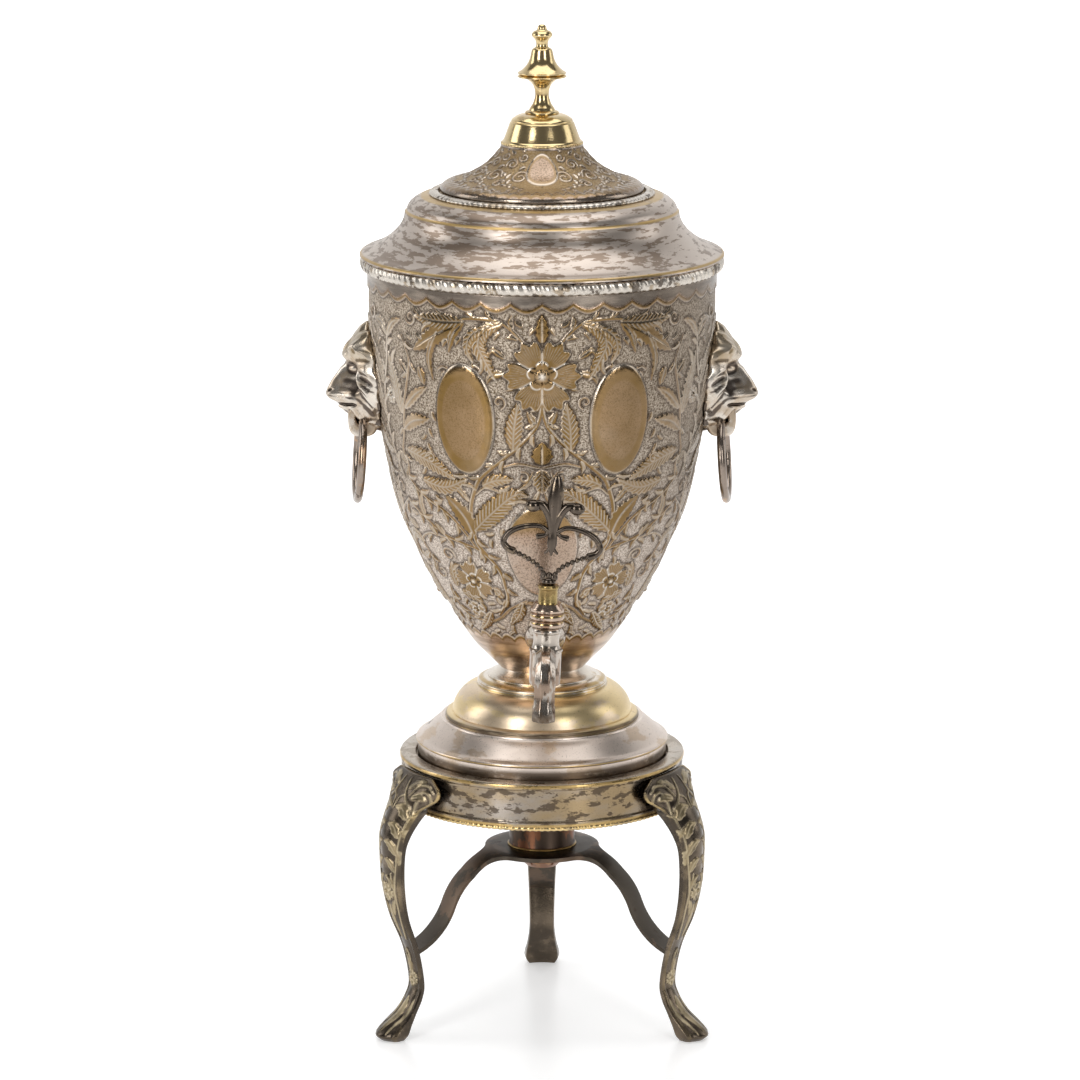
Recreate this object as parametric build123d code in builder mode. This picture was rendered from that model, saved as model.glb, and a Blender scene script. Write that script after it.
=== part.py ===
from build123d import *
import math
import os

# An antique tea urn on a three-legged burner stand.
# Sizes are in millimetres and angles in degrees. +Z is up and the tap points along -Y.
# The origin is on the table, on the urn's axis.

# Stand ring
stand_height = 140.0
ring_r = 72.0
apron_height = 22.0
ring_wall = 1.6
ring_edge_round = 0.8
seat_depth = 3.0
seat_land = 8.5
apron_bead_r = 0.9

# Legs: how far down the ring each leg starts, and the fit of leg to bead
leg_drop = 3.0
leg_bead_gap = 0.2
leg_back_angle = 90.0

# Burner platform
platform_z = 88.0
platform_thick = 2.0
platform_r = 29.0
arm_width = 13.0
arm_root_round = 14.0
arm_foot_z = 46.0

# Spirit burner
cup_r = 16.6
cup_height = 32.0
cup_wall = 1.0
cup_rim = 0.9
cup_stud_r = 4.0
burner_nut_r = 11.0
burner_nut_height = 9.0
burner_nut_round = 3.0
nut_slots = 6
nut_slot_width = 1.2
nut_slot_depth = 1.4
cover_thick = 1.2
cover_skirt = 4.0
wick_r = 5.5
wick_tube_wall = 1.0
wick_tube_rise = 8.0
wick_above_tube = 3.0
wick_length = 38.0

# Clearances: loose is for parts that lift out, running for shafts; studs stand past their nuts
loose = 0.4
running = 0.05
foot_gap = 0.8
stud_end = 1.5

# Urn foot
foot_r = 63.0
foot_wall = 1.2
foot_band = 9.2
foot_lip = 0.8
foot_base_height = 21.0
foot_flange = 7.0
dome_r = 50.4
dome_height = 16.4
dome_top_r = 37.6
neck_height = 9.6
neck_r = 34.6

# Bowl
bowl_height = 203.0
bowl_rim_r = 86.8
bowl_wall = 1.2
bowl_band = 19.0
bowl_neck_r = 21.0
bowl_bottom_drop = 8.0
bowl_shares = (
    (0.965, 0.848),
    (0.892, 0.640),
    (0.7356, 0.413),
    (0.573, 0.283),
    (0.3404, 0.147),
    (0.0, 0.0),
)
boss_height = 0.8
bosses = (
    (0.0, 256.5, 17.5, 26.5),
    (27.3, 324.0, 16.0, 28.0),
    (152.7, 324.0, 16.0, 28.0),
    (180.0, 256.5, 17.5, 26.5),
    (207.3, 324.0, 16.0, 28.0),
    (332.7, 324.0, 16.0, 28.0),
)

# Rim wire and shoulder
rim_height = 6.6
rim_proud = 4.0
flange_proud = 3.8
shoulder_wall = 1.2
shoulder_height = 30.4
shoulder_step_r = 67.4
shoulder_step_z = 23.2
collar_depth = 7.0
opening_r = 46.0
leaf_ring_r = 56.2
leaf_ring_width = 4.8
leaf_ring_height = 2.4

# Lid
lid_r = 50.2
lid_wall = 1.1
lid_skirt = 8.0
bezel_thick = 1.0
lid_rise = 24.4
lid_top_r = 19.8
cap_height = 14.6
cap_r = 19.4
cap_top_r = 9.0
cap_wall = 1.0
finial_height = 44.0
finial_stud_r = 2.4
finial_nut_width = 8.0
finial_nut_height = 3.4

# Lion masks and ring handles
mask_below_band = 54.0
ring_hole_proud = 3.2
ring_hole_drop = 21.4
ring_hole_r = 3.2
ring_wire_r = 2.1
ring_mean_r = 19.4
ring_lean = 4.0
lug_half_width = 6.0
lug_proud = 10.2
lug_drop = 31.5
mask_stud_r = 2.5
mask_nut_width = 8.0
mask_nut_height = 3.5
mask_washer_r = 6.0
mask_washer_thick = 2.0

# Tap
tap_reach = 100.0
tap_x = 1.6
tap_rise = 25.6
tap_lean = 2.2
barrel_r = 7.6
barrel_below = 11.5
barrel_above = 7.0
tap_neck_r = 6.5
tap_neck_top = 17.4
inlet_r = 5.4
tap_bore_r = 3.0
rosette_r = 12.0
rosette_back = 7.4
rosette_length = 2.6
rosette_crown = 5.0
plug_top_r = 4.6
plug_bottom_r = 3.8
plug_head_r = 8.3
plug_head_height = 12.0
ferrule_r = 4.7
ferrule_height = 9.0
spout_width = 9.2
spout_reach = 18.0
spout_bend = 11.0
spout_drop = 25.0
spout_tip_width = 10.8
spout_lip = 0.7
spout_lip_height = 2.4
spout_tip_height = 6.6
washer_r = 5.2
washer_thick = 1.2
screw_r = 3.6
screw_height = 2.4
screw_shank_r = 1.6
screw_shank = 5.0
tenon_width = 5.0
tenon_height = 6.0

# Key
key_lean = 2.6
key_thick = 3.2
key_bar = 2.8
key_height = 51.4

# Levels that follow from the sizes above
seat_z = stand_height - seat_depth
apron_z = stand_height - apron_height
leg_top_z = stand_height - leg_drop
rabbet_r = foot_r + foot_gap
stand_opening_r = rabbet_r - seat_land
dome_z = seat_z + foot_base_height
neck_z = dome_z + dome_height
bowl_z = neck_z + neck_height
bowl_top_z = bowl_z + bowl_height
rim_r = bowl_rim_r + rim_proud
flange_r = bowl_rim_r + flange_proud
mask_z = bowl_top_z - mask_below_band
ring_hole_x = bowl_rim_r + ring_hole_proud
ring_hole_z = mask_z - ring_hole_drop
lug_outer_x = bowl_rim_r + lug_proud
lug_bottom_z = mask_z - lug_drop
tap_z = bowl_z + tap_rise
rim_top_z = bowl_top_z + rim_height
lid_z = rim_top_z + shoulder_height
cap_z = lid_z + bezel_thick + lid_rise
finial_z = cap_z + cap_height
platform_top_z = platform_z + platform_thick
cup_top_z = platform_top_z + cup_height

os.makedirs("parts", exist_ok=True)


def save(piece, name):
    """Labels a finished piece and writes it as its own file."""
    piece.label = name
    export_step(piece, f"parts/{name}.step")


def direction(angle):
    """Unit vector in the XY plane."""
    return Vector(math.cos(math.radians(angle)), math.sin(math.radians(angle)), 0)


# The stand ring: a folded section, with its lip on top, the rabbet inside it and the apron outside.
with BuildPart() as stand_ring:
    with BuildSketch(Plane.XZ):
        with BuildLine() as ring_line:
            Polyline(
                (ring_r, apron_z),
                (ring_r, stand_height - ring_edge_round),
                (ring_r - ring_edge_round, stand_height),
                (rabbet_r, stand_height),
                (rabbet_r, seat_z),
                (stand_opening_r, seat_z),
            )
            Polyline(
                (stand_opening_r, seat_z),
                (stand_opening_r, seat_z - ring_wall),
                (rabbet_r + ring_wall, seat_z - ring_wall),
                (rabbet_r + ring_wall, stand_height - ring_wall),
                (ring_r - ring_wall, stand_height - ring_wall),
                (ring_r - ring_wall, apron_z),
                (ring_r, apron_z),
            )
        make_face()
    revolve(axis=Axis.Z)
save(stand_ring.part, "stand_ring")

with BuildPart() as apron_bead:
    with BuildSketch(Plane.XZ):
        with Locations((ring_r - ring_wall / 2, apron_z - apron_bead_r)):
            RegularPolygon(apron_bead_r, 8, major_radius=False, rotation=22.5)
    revolve(axis=Axis.Z)
save(apron_bead.part, "apron_bead")

# Legs: level sections from the sole up. Each row is a height as a share of the leg, then, as
# distances past the apron, the front, the front's edges and the back, then half the width.
leg_sections = (
    (0.000, 21.5, 16.0, 12.0, 6.5),
    (0.022, 24.0, 17.5, 10.3, 8.2),
    (0.055, 19.2, 13.5, 8.3, 8.2),
    (0.095, 11.1, 8.0, 5.1, 7.2),
    (0.150, 5.8, 3.3, 1.0, 6.3),
    (0.209, 3.4, 1.6, -0.2, 6.0),
    (0.334, 6.5, 4.8, 3.0, 6.5),
    (0.465, 14.0, 11.6, 9.2, 7.5),
    (0.591, 18.4, 15.0, 11.9, 8.5),
    (0.715, 19.6, 15.0, 12.1, 10.0),
    (0.778, 19.5, 14.0, 9.6, 11.0),
    (0.837, 17.1, 10.5, 5.0, 13.0),
    (0.883, 14.0, 6.5, -6.0, 15.5),
    (0.927, 10.5, 0.8, -6.0, 22.5),
    (0.964, 7.3, -0.7, -6.0, 24.0),
    (1.000, 3.2, -1.5, -6.0, 17.0),
)
leg_angles = {"leg_front_left": 210.0, "leg_front_right": 330.0, "leg_back": leg_back_angle}
legs = {}
for leg_name, leg_angle in leg_angles.items():
    outward = direction(leg_angle)
    with BuildPart() as leg:
        for share, *reaches in leg_sections:
            front, edge, back, half = [reach * leg_top_z / 137 for reach in reaches]
            section_plane = Plane((0, 0, share * leg_top_z), x_dir=outward, z_dir=(0, 0, 1))
            with BuildSketch(section_plane):
                with BuildLine():
                    ThreePointArc(
                        (ring_r + edge, -half), (ring_r + front, 0), (ring_r + edge, half)
                    )
                    Line((ring_r + edge, half), (ring_r + back, half * 0.9))
                    Line((ring_r + back, half * 0.9), (ring_r + back, -half * 0.9))
                    Line((ring_r + back, -half * 0.9), (ring_r + edge, -half))
                make_face()
        loft()
        with BuildSketch(Plane.XY.offset(arm_foot_z * 1.4)):
            Circle(ring_r)
        extrude(amount=stand_height, mode=Mode.SUBTRACT)
        with BuildSketch(Plane.XY.offset(apron_z - 2 * apron_bead_r - leg_bead_gap)):
            Circle(ring_r - ring_wall / 2 + apron_bead_r + leg_bead_gap)
        extrude(amount=2 * apron_bead_r + leg_bead_gap, mode=Mode.SUBTRACT)
    legs[leg_name] = leg.part
    save(leg.part, leg_name)

# Burner platform: a sheet that arches like an umbrella, trimmed by its plan, which is a round
# plate with an arm to each leg. The line under the sheet follows the one on top of it.
arch_top = (
    (platform_r - 3.0, platform_top_z),
    (platform_r + 7.5, platform_top_z - 2.9),
    (platform_r + 15.0, platform_top_z - 8.5),
    (platform_r + 21.5, platform_top_z - 15.0),
    (platform_r + 26.0, platform_top_z - 23.0),
    (ring_r - 9.0, arm_foot_z + 8.5),
    (ring_r + 4.0, arm_foot_z),
)
arch_under = [(reach - 0.3 * platform_thick, level - platform_thick) for reach, level in arch_top]
with BuildPart() as burner_platform:
    with BuildSketch(Plane.YZ):
        with BuildLine():
            plate_hole_r = cup_stud_r + running
            for arch in (arch_top, arch_under):
                Line((plate_hole_r, arch[0][1]), arch[0])
                for start in range(0, len(arch) - 1, 2):
                    ThreePointArc(*arch[start : start + 3])
            Line(arch_top[-1], arch_under[-1])
            Line((plate_hole_r, platform_top_z), (plate_hole_r, platform_z))
        make_face()
    revolve(axis=Axis.Z)
    with BuildSketch(Plane.XY) as platform_plan:
        Circle(platform_r)
        for leg_angle in leg_angles.values():
            with Locations(Location((0, 0, 0), (0, 0, leg_angle))):
                Rectangle(ring_r + 10, arm_width, align=(Align.MIN, Align.CENTER))
        roots = platform_plan.vertices().filter_by(
            lambda v: platform_r - 1 < Vector(v.X, v.Y).length < platform_r + 1
        )
        fillet(roots, arm_root_round)
    extrude(amount=stand_height, mode=Mode.INTERSECT)
    for leg_part in legs.values():
        add(leg_part, mode=Mode.SUBTRACT)
save(burner_platform.part, "burner_platform")

# Spirit burner: a cup with a rim and a stud, held down by a slotted nut under the platform.
with BuildPart() as burner_cup:
    with BuildSketch(Plane.XZ):
        with BuildLine():
            Polyline(
                (0, platform_top_z + cup_wall),
                (cup_r - cup_wall, platform_top_z + cup_wall),
                (cup_r - cup_wall, cup_top_z),
                (cup_r, cup_top_z),
                (cup_r, platform_top_z + cup_rim),
                (cup_r + cup_rim, platform_top_z + cup_rim),
                (cup_r + cup_rim, platform_top_z),
                (cup_stud_r, platform_top_z),
                (cup_stud_r, platform_z - burner_nut_height),
                (0, platform_z - burner_nut_height),
                close=True,
            )
        make_face()
    revolve(axis=Axis.Z)
save(burner_cup.part, "burner_cup")

with BuildPart() as burner_nut:
    with BuildSketch(Plane.XY.offset(platform_z)):
        Circle(burner_nut_r)
    extrude(amount=-burner_nut_height)
    chamfer(burner_nut.edges().sort_by(Axis.Z)[0], burner_nut_round)
    with BuildSketch(Plane.XY.offset(platform_z)):
        with PolarLocations(burner_nut_r, nut_slots):
            Rectangle(2 * nut_slot_depth, nut_slot_width)
        Circle(cup_stud_r)
    extrude(amount=-burner_nut_height, mode=Mode.SUBTRACT)
save(burner_nut.part, "burner_nut")

cover_z = cup_top_z + cover_thick
with BuildPart() as burner_cover:
    with BuildSketch(Plane.XZ):
        with BuildLine():
            Polyline(
                (wick_r, cup_top_z - cover_skirt),
                (wick_r, cover_z + wick_tube_rise),
                (wick_r + wick_tube_wall, cover_z + wick_tube_rise),
                (wick_r + wick_tube_wall, cover_z),
                (cup_r + cup_rim, cover_z),
                (cup_r + cup_rim, cup_top_z),
                (cup_r - cup_wall - loose, cup_top_z),
                (cup_r - cup_wall - loose, cup_top_z - cover_skirt),
                (cup_r - 2 * cup_wall - loose, cup_top_z - cover_skirt),
                (cup_r - 2 * cup_wall - loose, cup_top_z),
                (wick_r + wick_tube_wall, cup_top_z),
                (wick_r + wick_tube_wall, cup_top_z - cover_skirt),
                close=True,
            )
        make_face()
    revolve(axis=Axis.Z)
save(burner_cover.part, "burner_cover")

with BuildPart() as wick:
    with BuildSketch(Plane.XY.offset(cover_z + wick_tube_rise + wick_above_tube)):
        Circle(wick_r)
    extrude(amount=-wick_length)
    chamfer(wick.edges().sort_by(Axis.Z)[-1], wick_r / 5)
save(wick.part, "wick")

# Urn foot, in three soldered pieces. Each wall follows its outer line at the sheet's thickness.
with BuildPart() as foot_base:
    with BuildSketch(Plane.XZ):
        with BuildLine():
            band_top = seat_z + foot_band
            Polyline(
                (foot_r - foot_flange, seat_z),
                (foot_r, seat_z),
                (foot_r, band_top),
                (foot_r + foot_lip, band_top + foot_lip),
                (foot_r - foot_lip, band_top + 2.5 * foot_lip),
            )
            ThreePointArc(
                (foot_r - foot_lip, band_top + 2.5 * foot_lip),
                (foot_r - 6.4, dome_z - 5.6),
                (dome_r + 0.6, dome_z),
            )
            Polyline(
                (dome_r + 0.6, dome_z),
                (dome_r - 6.0, dome_z),
                (dome_r - 6.0, dome_z - foot_wall),
                (dome_r - foot_wall, dome_z - foot_wall),
            )
            ThreePointArc(
                (dome_r - foot_wall, dome_z - foot_wall),
                (foot_r - 6.4 - foot_wall, dome_z - 5.6 - foot_wall),
                (foot_r - foot_lip - foot_wall, band_top + foot_lip),
            )
            Polyline(
                (foot_r - foot_lip - foot_wall, band_top + foot_lip),
                (foot_r - foot_wall, band_top - foot_lip),
                (foot_r - foot_wall, seat_z + foot_wall),
                (foot_r - foot_flange, seat_z + foot_wall),
                (foot_r - foot_flange, seat_z),
            )
        make_face()
    revolve(axis=Axis.Z)
save(foot_base.part, "foot_base")

with BuildPart() as foot_dome:
    with BuildSketch(Plane.XZ):
        with BuildLine():
            Line((neck_r - 5.0, neck_z), (dome_top_r, neck_z))
            ThreePointArc(
                (dome_top_r, neck_z), (dome_r - 6.6, neck_z - 7.2), (dome_r - 2.8, dome_z + 2.8)
            )
            Line((dome_r - 2.8, dome_z + 2.8), (dome_r, dome_z + 1.2))
            Polyline((dome_r, dome_z + 1.2), (dome_r, dome_z), (dome_r - 2.2, dome_z))
            ThreePointArc(
                (dome_r - 2.2, dome_z),
                (dome_r - 7.4, neck_z - 8.0),
                (dome_top_r - foot_wall / 2, neck_z - foot_wall),
            )
            Polyline(
                (dome_top_r - foot_wall / 2, neck_z - foot_wall),
                (neck_r - 5.0, neck_z - foot_wall),
                (neck_r - 5.0, neck_z),
            )
        make_face()
    revolve(axis=Axis.Z)
save(foot_dome.part, "foot_dome")


def bowl_line(inset):
    """The bowl's line from its rim to the middle of its bottom, inset by a wall."""
    rim = bowl_rim_r - inset
    spread = bowl_rim_r - bowl_neck_r
    band_z = bowl_top_z - bowl_band
    rows = [(rim, band_z)]
    for width_share, height_share in bowl_shares:
        rows.append(
            (bowl_neck_r - inset + width_share * spread, bowl_z + height_share * (band_z - bowl_z))
        )
    Line((rim, bowl_top_z), rows[0])
    for start in range(0, len(rows) - 2, 2):
        side = ThreePointArc(*rows[start : start + 3])
    TangentArc((0, bowl_z - bowl_bottom_drop + inset), side @ 1, tangent=(1, 0))


# The bowl as a filled form, which trims what is soldered against it.
with BuildPart() as bowl_form:
    with BuildSketch(Plane.YZ):
        with BuildLine():
            bowl_line(0)
            Polyline((0, bowl_z - bowl_bottom_drop), (0, bowl_top_z), (bowl_rim_r, bowl_top_z))
        make_face()
    revolve(axis=Axis.Z)

# The room inside the bowl, where a pipe's end is cut off flush.
with BuildPart() as bowl_core:
    with BuildSketch(Plane.YZ):
        with BuildLine():
            bowl_line(bowl_wall)
            Polyline(
                (0, bowl_z - bowl_bottom_drop + bowl_wall),
                (0, bowl_top_z),
                (bowl_rim_r - bowl_wall, bowl_top_z),
            )
        make_face()
    revolve(axis=Axis.Z)

# Smooth ovals that stand out from the chased wall: the bowl's form thickened, cut by each oval.
with BuildPart() as bowl_skin:
    with BuildSketch(Plane.YZ):
        with BuildLine():
            bowl_line(-boss_height)
            Polyline(
                (0, bowl_z - bowl_bottom_drop - boss_height),
                (0, bowl_top_z),
                (bowl_rim_r + boss_height, bowl_top_z),
            )
        make_face()
    revolve(axis=Axis.Z)
boss_forms = []
for bearing, boss_z, half_width, half_height in bosses:
    outward = direction(bearing - 90)
    with BuildPart() as boss:
        boss_plane = Plane((0, 0, bowl_z), x_dir=direction(bearing), z_dir=outward)
        with BuildSketch(boss_plane):
            with Locations((0, boss_z * bowl_height / 203 - bowl_z)):
                Ellipse(half_width, half_height)
        extrude(amount=2 * bowl_rim_r)
        add(bowl_skin.part, mode=Mode.INTERSECT)
        add(bowl_form.part, mode=Mode.SUBTRACT)
    boss_forms.append(boss.part)

tap_origin = Vector(tap_x, -tap_reach, tap_z)
mask_sides = {"right": 1, "left": -1}
with BuildPart() as bowl:
    with BuildSketch(Plane.YZ):
        with BuildLine():
            bowl_line(0)
            Line((0, bowl_z - bowl_bottom_drop), (0, bowl_z - bowl_bottom_drop + bowl_wall))
            bowl_line(bowl_wall)
            Line((bowl_rim_r - bowl_wall, bowl_top_z), (bowl_rim_r, bowl_top_z))
        make_face()
    revolve(axis=Axis.Z)
    with BuildSketch(Plane.XZ):
        with Locations((tap_x, tap_z)):
            Circle(inlet_r)
    extrude(amount=tap_reach, mode=Mode.SUBTRACT)
    with BuildSketch(Plane.YZ):
        with Locations((0, mask_z)):
            Circle(mask_stud_r)
    extrude(amount=bowl_rim_r, both=True, mode=Mode.SUBTRACT)
    add(boss_forms)
save(bowl.part, "bowl")

with BuildPart() as foot_neck:
    with BuildSketch(Plane.XZ):
        with BuildLine():
            ThreePointArc(
                (bowl_neck_r - 1.5, bowl_z + 1.0),
                (bowl_neck_r + 5.0, bowl_z - 4.0),
                (neck_r, neck_z + 2.0),
            )
            Polyline(
                (neck_r, neck_z + 2.0),
                (neck_r, neck_z),
                (neck_r - 3.0, neck_z),
            )
            ThreePointArc(
                (neck_r - 3.0, neck_z),
                (bowl_neck_r + 4.4, bowl_z - 6.0),
                (bowl_neck_r - 1.5, bowl_z - 2.5),
            )
            Line((bowl_neck_r - 1.5, bowl_z - 2.5), (bowl_neck_r - 1.5, bowl_z + 1.0))
        make_face()
    revolve(axis=Axis.Z)
    add(bowl_form.part, mode=Mode.SUBTRACT)
save(foot_neck.part, "foot_neck")

# Rim wire, between the bowl's top edge and the shoulder's flange.
rim_inner_r = bowl_rim_r - bowl_wall
with BuildPart() as rim_wire:
    with BuildSketch(Plane.XZ):
        with BuildLine():
            Line((rim_inner_r, bowl_top_z), (bowl_rim_r + 2.0, bowl_top_z))
            ThreePointArc(
                (bowl_rim_r + 2.0, bowl_top_z),
                (rim_r, bowl_top_z + 0.55 * rim_height),
                (rim_r - 0.8, rim_top_z),
            )
            Polyline((rim_r - 0.8, rim_top_z), (rim_inner_r, rim_top_z), (rim_inner_r, bowl_top_z))
        make_face()
    revolve(axis=Axis.Z)
save(rim_wire.part, "rim_wire")

# Shoulder: flange, cove, step, rounded top and a collar turned down into the opening.
with BuildPart() as shoulder:
    step_z = rim_top_z + shoulder_step_z
    with BuildSketch(Plane.XZ):
        with BuildLine():
            Polyline(
                (rim_inner_r, rim_top_z),
                (flange_r, rim_top_z),
                (flange_r, rim_top_z + 1.0),
                (flange_r - 3.6, rim_top_z + 2.8),
            )
            ThreePointArc(
                (flange_r - 3.6, rim_top_z + 2.8),
                (shoulder_step_r + 6.8, rim_top_z + 0.45 * shoulder_step_z),
                (shoulder_step_r + 0.8, step_z - 4.0),
            )
            Line((shoulder_step_r + 0.8, step_z - 4.0), (shoulder_step_r, step_z))
            ThreePointArc(
                (shoulder_step_r, step_z),
                (shoulder_step_r - 4.4, step_z + 4.6),
                (leaf_ring_r, lid_z),
            )
            Polyline(
                (leaf_ring_r, lid_z),
                (opening_r, lid_z),
                (opening_r, lid_z - collar_depth),
                (opening_r + shoulder_wall, lid_z - collar_depth),
                (opening_r + shoulder_wall, lid_z - shoulder_wall),
                (leaf_ring_r, lid_z - shoulder_wall),
            )
            ThreePointArc(
                (leaf_ring_r, lid_z - shoulder_wall),
                (shoulder_step_r - 5.2, step_z + 3.6),
                (shoulder_step_r - shoulder_wall, step_z - 0.4),
            )
            Line(
                (shoulder_step_r - shoulder_wall, step_z - 0.4),
                (shoulder_step_r - 0.4, step_z - 4.4),
            )
            ThreePointArc(
                (shoulder_step_r - 0.4, step_z - 4.4),
                (shoulder_step_r + 5.8, rim_top_z + 0.40 * shoulder_step_z),
                (rim_inner_r, rim_top_z + 1.0),
            )
            Line((rim_inner_r, rim_top_z + 1.0), (rim_inner_r, rim_top_z))
        make_face()
    revolve(axis=Axis.Z)
save(shoulder.part, "shoulder")

with BuildPart() as leaf_ring:
    ring_in = leaf_ring_r - leaf_ring_width
    with BuildSketch(Plane.XZ):
        with BuildLine():
            Polyline((leaf_ring_r, lid_z), (ring_in, lid_z), (ring_in, lid_z + leaf_ring_height))
            ThreePointArc(
                (ring_in, lid_z + leaf_ring_height),
                (leaf_ring_r - 1.2, lid_z + 0.75 * leaf_ring_height),
                (leaf_ring_r, lid_z),
            )
        make_face()
    revolve(axis=Axis.Z)
save(leaf_ring.part, "leaf_ring")

# Lid: bezel with its skirt, chased shell, polished cap, finial and the nut inside.
with BuildPart() as lid_bezel:
    skirt_r = opening_r - loose
    with BuildSketch(Plane.XZ):
        with BuildLine():
            Polyline(
                (skirt_r, lid_z),
                (lid_r - 0.8, lid_z),
                (lid_r - 0.8, lid_z + bezel_thick),
                (skirt_r - bezel_thick, lid_z + bezel_thick),
                (skirt_r - bezel_thick, lid_z - lid_skirt),
                (skirt_r, lid_z - lid_skirt),
                close=True,
            )
        make_face()
    revolve(axis=Axis.Z)
save(lid_bezel.part, "lid_bezel")

with BuildPart() as lid_shell:
    lip_z = lid_z + bezel_thick
    with BuildSketch(Plane.XZ):
        with BuildLine():
            ThreePointArc(
                (lid_r - 0.8, lip_z), (lid_r, lip_z + 1.8), (lid_r - 2.2, lip_z + 4.4)
            )
            ThreePointArc(
                (lid_r - 2.2, lip_z + 4.4),
                (lid_top_r + 19.6, cap_z - 16.6),
                (lid_top_r + 11.7, cap_z - 12.9),
            )
            ThreePointArc(
                (lid_top_r + 11.7, cap_z - 12.9), (lid_top_r + 4.5, cap_z - 7.0), (lid_top_r, cap_z)
            )
            Polyline(
                (lid_top_r, cap_z),
                (lid_top_r - 4.0, cap_z),
                (lid_top_r - 4.0, cap_z - lid_wall),
                (lid_top_r - lid_wall, cap_z - lid_wall),
            )
            ThreePointArc(
                (lid_top_r - lid_wall, cap_z - lid_wall),
                (lid_top_r + 3.6, cap_z - 7.9),
                (lid_top_r + 11.3, cap_z - 14.0),
            )
            Line((lid_top_r + 11.3, cap_z - 14.0), (lid_r - 3.4, lip_z + 3.2))
            Polyline((lid_r - 3.4, lip_z + 3.2), (lid_r - 3.4, lip_z), (lid_r - 0.8, lip_z))
        make_face()
    revolve(axis=Axis.Z)
save(lid_shell.part, "lid_shell")

with BuildPart() as lid_cap:
    with BuildSketch(Plane.XZ):
        with BuildLine():
            ThreePointArc(
                (cap_r, cap_z),
                (cap_r - 2.1, cap_z + 0.35 * cap_height),
                (cap_r - 4.4, cap_z + 0.72 * cap_height),
            )
            ThreePointArc(
                (cap_r - 4.4, cap_z + 0.72 * cap_height),
                (cap_r - 6.6, cap_z + 0.87 * cap_height),
                (cap_top_r, finial_z),
            )
            Polyline(
                (cap_top_r, finial_z),
                (finial_stud_r, finial_z),
                (finial_stud_r, finial_z - cap_wall),
                (cap_top_r - 0.4, finial_z - cap_wall),
            )
            ThreePointArc(
                (cap_top_r - 0.4, finial_z - cap_wall),
                (cap_r - 7.4, cap_z + 0.79 * cap_height),
                (cap_r - 5.4, cap_z + 0.66 * cap_height),
            )
            ThreePointArc(
                (cap_r - 5.4, cap_z + 0.66 * cap_height),
                (cap_r - 3.0, cap_z + 0.33 * cap_height),
                (cap_r - cap_wall, cap_z),
            )
            Line((cap_r - cap_wall, cap_z), (cap_r, cap_z))
        make_face()
    revolve(axis=Axis.Z)
save(lid_cap.part, "lid_cap")

# Finial: arcs through three places at a time, and straight cuts, drawn 44 high and scaled.
stud_bottom_z = finial_z - cap_wall - finial_nut_height - stud_end
finial_scale = finial_height / 44


def finial_at(reach, level):
    """A place on the finial's outline."""
    return (reach * finial_scale, finial_z + level * finial_scale)


with BuildPart() as finial:
    with BuildSketch(Plane.XZ):
        with BuildLine():
            Polyline(
                (0, stud_bottom_z),
                (finial_stud_r, stud_bottom_z),
                (finial_stud_r, finial_z),
                finial_at(8.4, 0),
                finial_at(8.4, 0.8),
            )
            ThreePointArc(finial_at(8.4, 0.8), finial_at(4.9, 3.6), finial_at(3.5, 8.6))
            ThreePointArc(finial_at(3.5, 8.6), finial_at(4.2, 13.6), finial_at(6.9, 16.6))
            Polyline(
                finial_at(6.9, 16.6), finial_at(11.6, 17.6), finial_at(12.3, 18.8), finial_at(11.3, 20.2)
            )
            ThreePointArc(finial_at(11.3, 20.2), finial_at(6.8, 25.0), finial_at(4.5, 32.0))
            Polyline(
                finial_at(4.5, 32.0),
                finial_at(3.0, 33.6),
                finial_at(3.0, 35.2),
                finial_at(5.0, 38.6),
                finial_at(4.8, 39.8),
                finial_at(2.0, 43.2),
                finial_at(1.4, 44.0),
                finial_at(0, 44.0),
                (0, stud_bottom_z),
            )
        make_face()
    revolve(axis=Axis.Z)
save(finial.part, "finial")

with BuildPart() as finial_nut:
    with BuildSketch(Plane.XY.offset(finial_z - cap_wall)):
        RegularPolygon(finial_nut_width / 2, 6, major_radius=False)
        Circle(finial_stud_r, mode=Mode.SUBTRACT)
    extrude(amount=-finial_nut_height)
save(finial_nut.part, "finial_nut")

# Fixings of the masks, inside the bowl: a washer that follows the wall, and a nut on it.
with BuildPart() as mask_washer:
    with BuildSketch(Plane.YZ):
        with Locations((0, mask_z)):
            Circle(mask_washer_r)
            Circle(mask_stud_r, mode=Mode.SUBTRACT)
    extrude(amount=bowl_rim_r)
    add(bowl_form.part, mode=Mode.INTERSECT)
    add(bowl.part, mode=Mode.SUBTRACT)
    washer_face_x = mask_washer.part.bounding_box().max.X - mask_washer_thick
    with BuildSketch(Plane.YZ):
        with Locations((0, mask_z)):
            Circle(2 * mask_washer_r)
    extrude(amount=washer_face_x, mode=Mode.SUBTRACT)

with BuildPart() as mask_nut:
    with BuildSketch(Plane.YZ.offset(washer_face_x)):
        with Locations((0, mask_z)):
            RegularPolygon(mask_nut_width / 2, 6, major_radius=False)
            Circle(mask_stud_r, mode=Mode.SUBTRACT)
    extrude(amount=-mask_nut_height)

for fixing, fixing_name in ((mask_washer, "mask_washers"), (mask_nut, "mask_nuts")):
    with BuildPart() as pair:
        add(fixing.part)
        mirror(about=Plane.YZ)
    save(pair.part, fixing_name)

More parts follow.
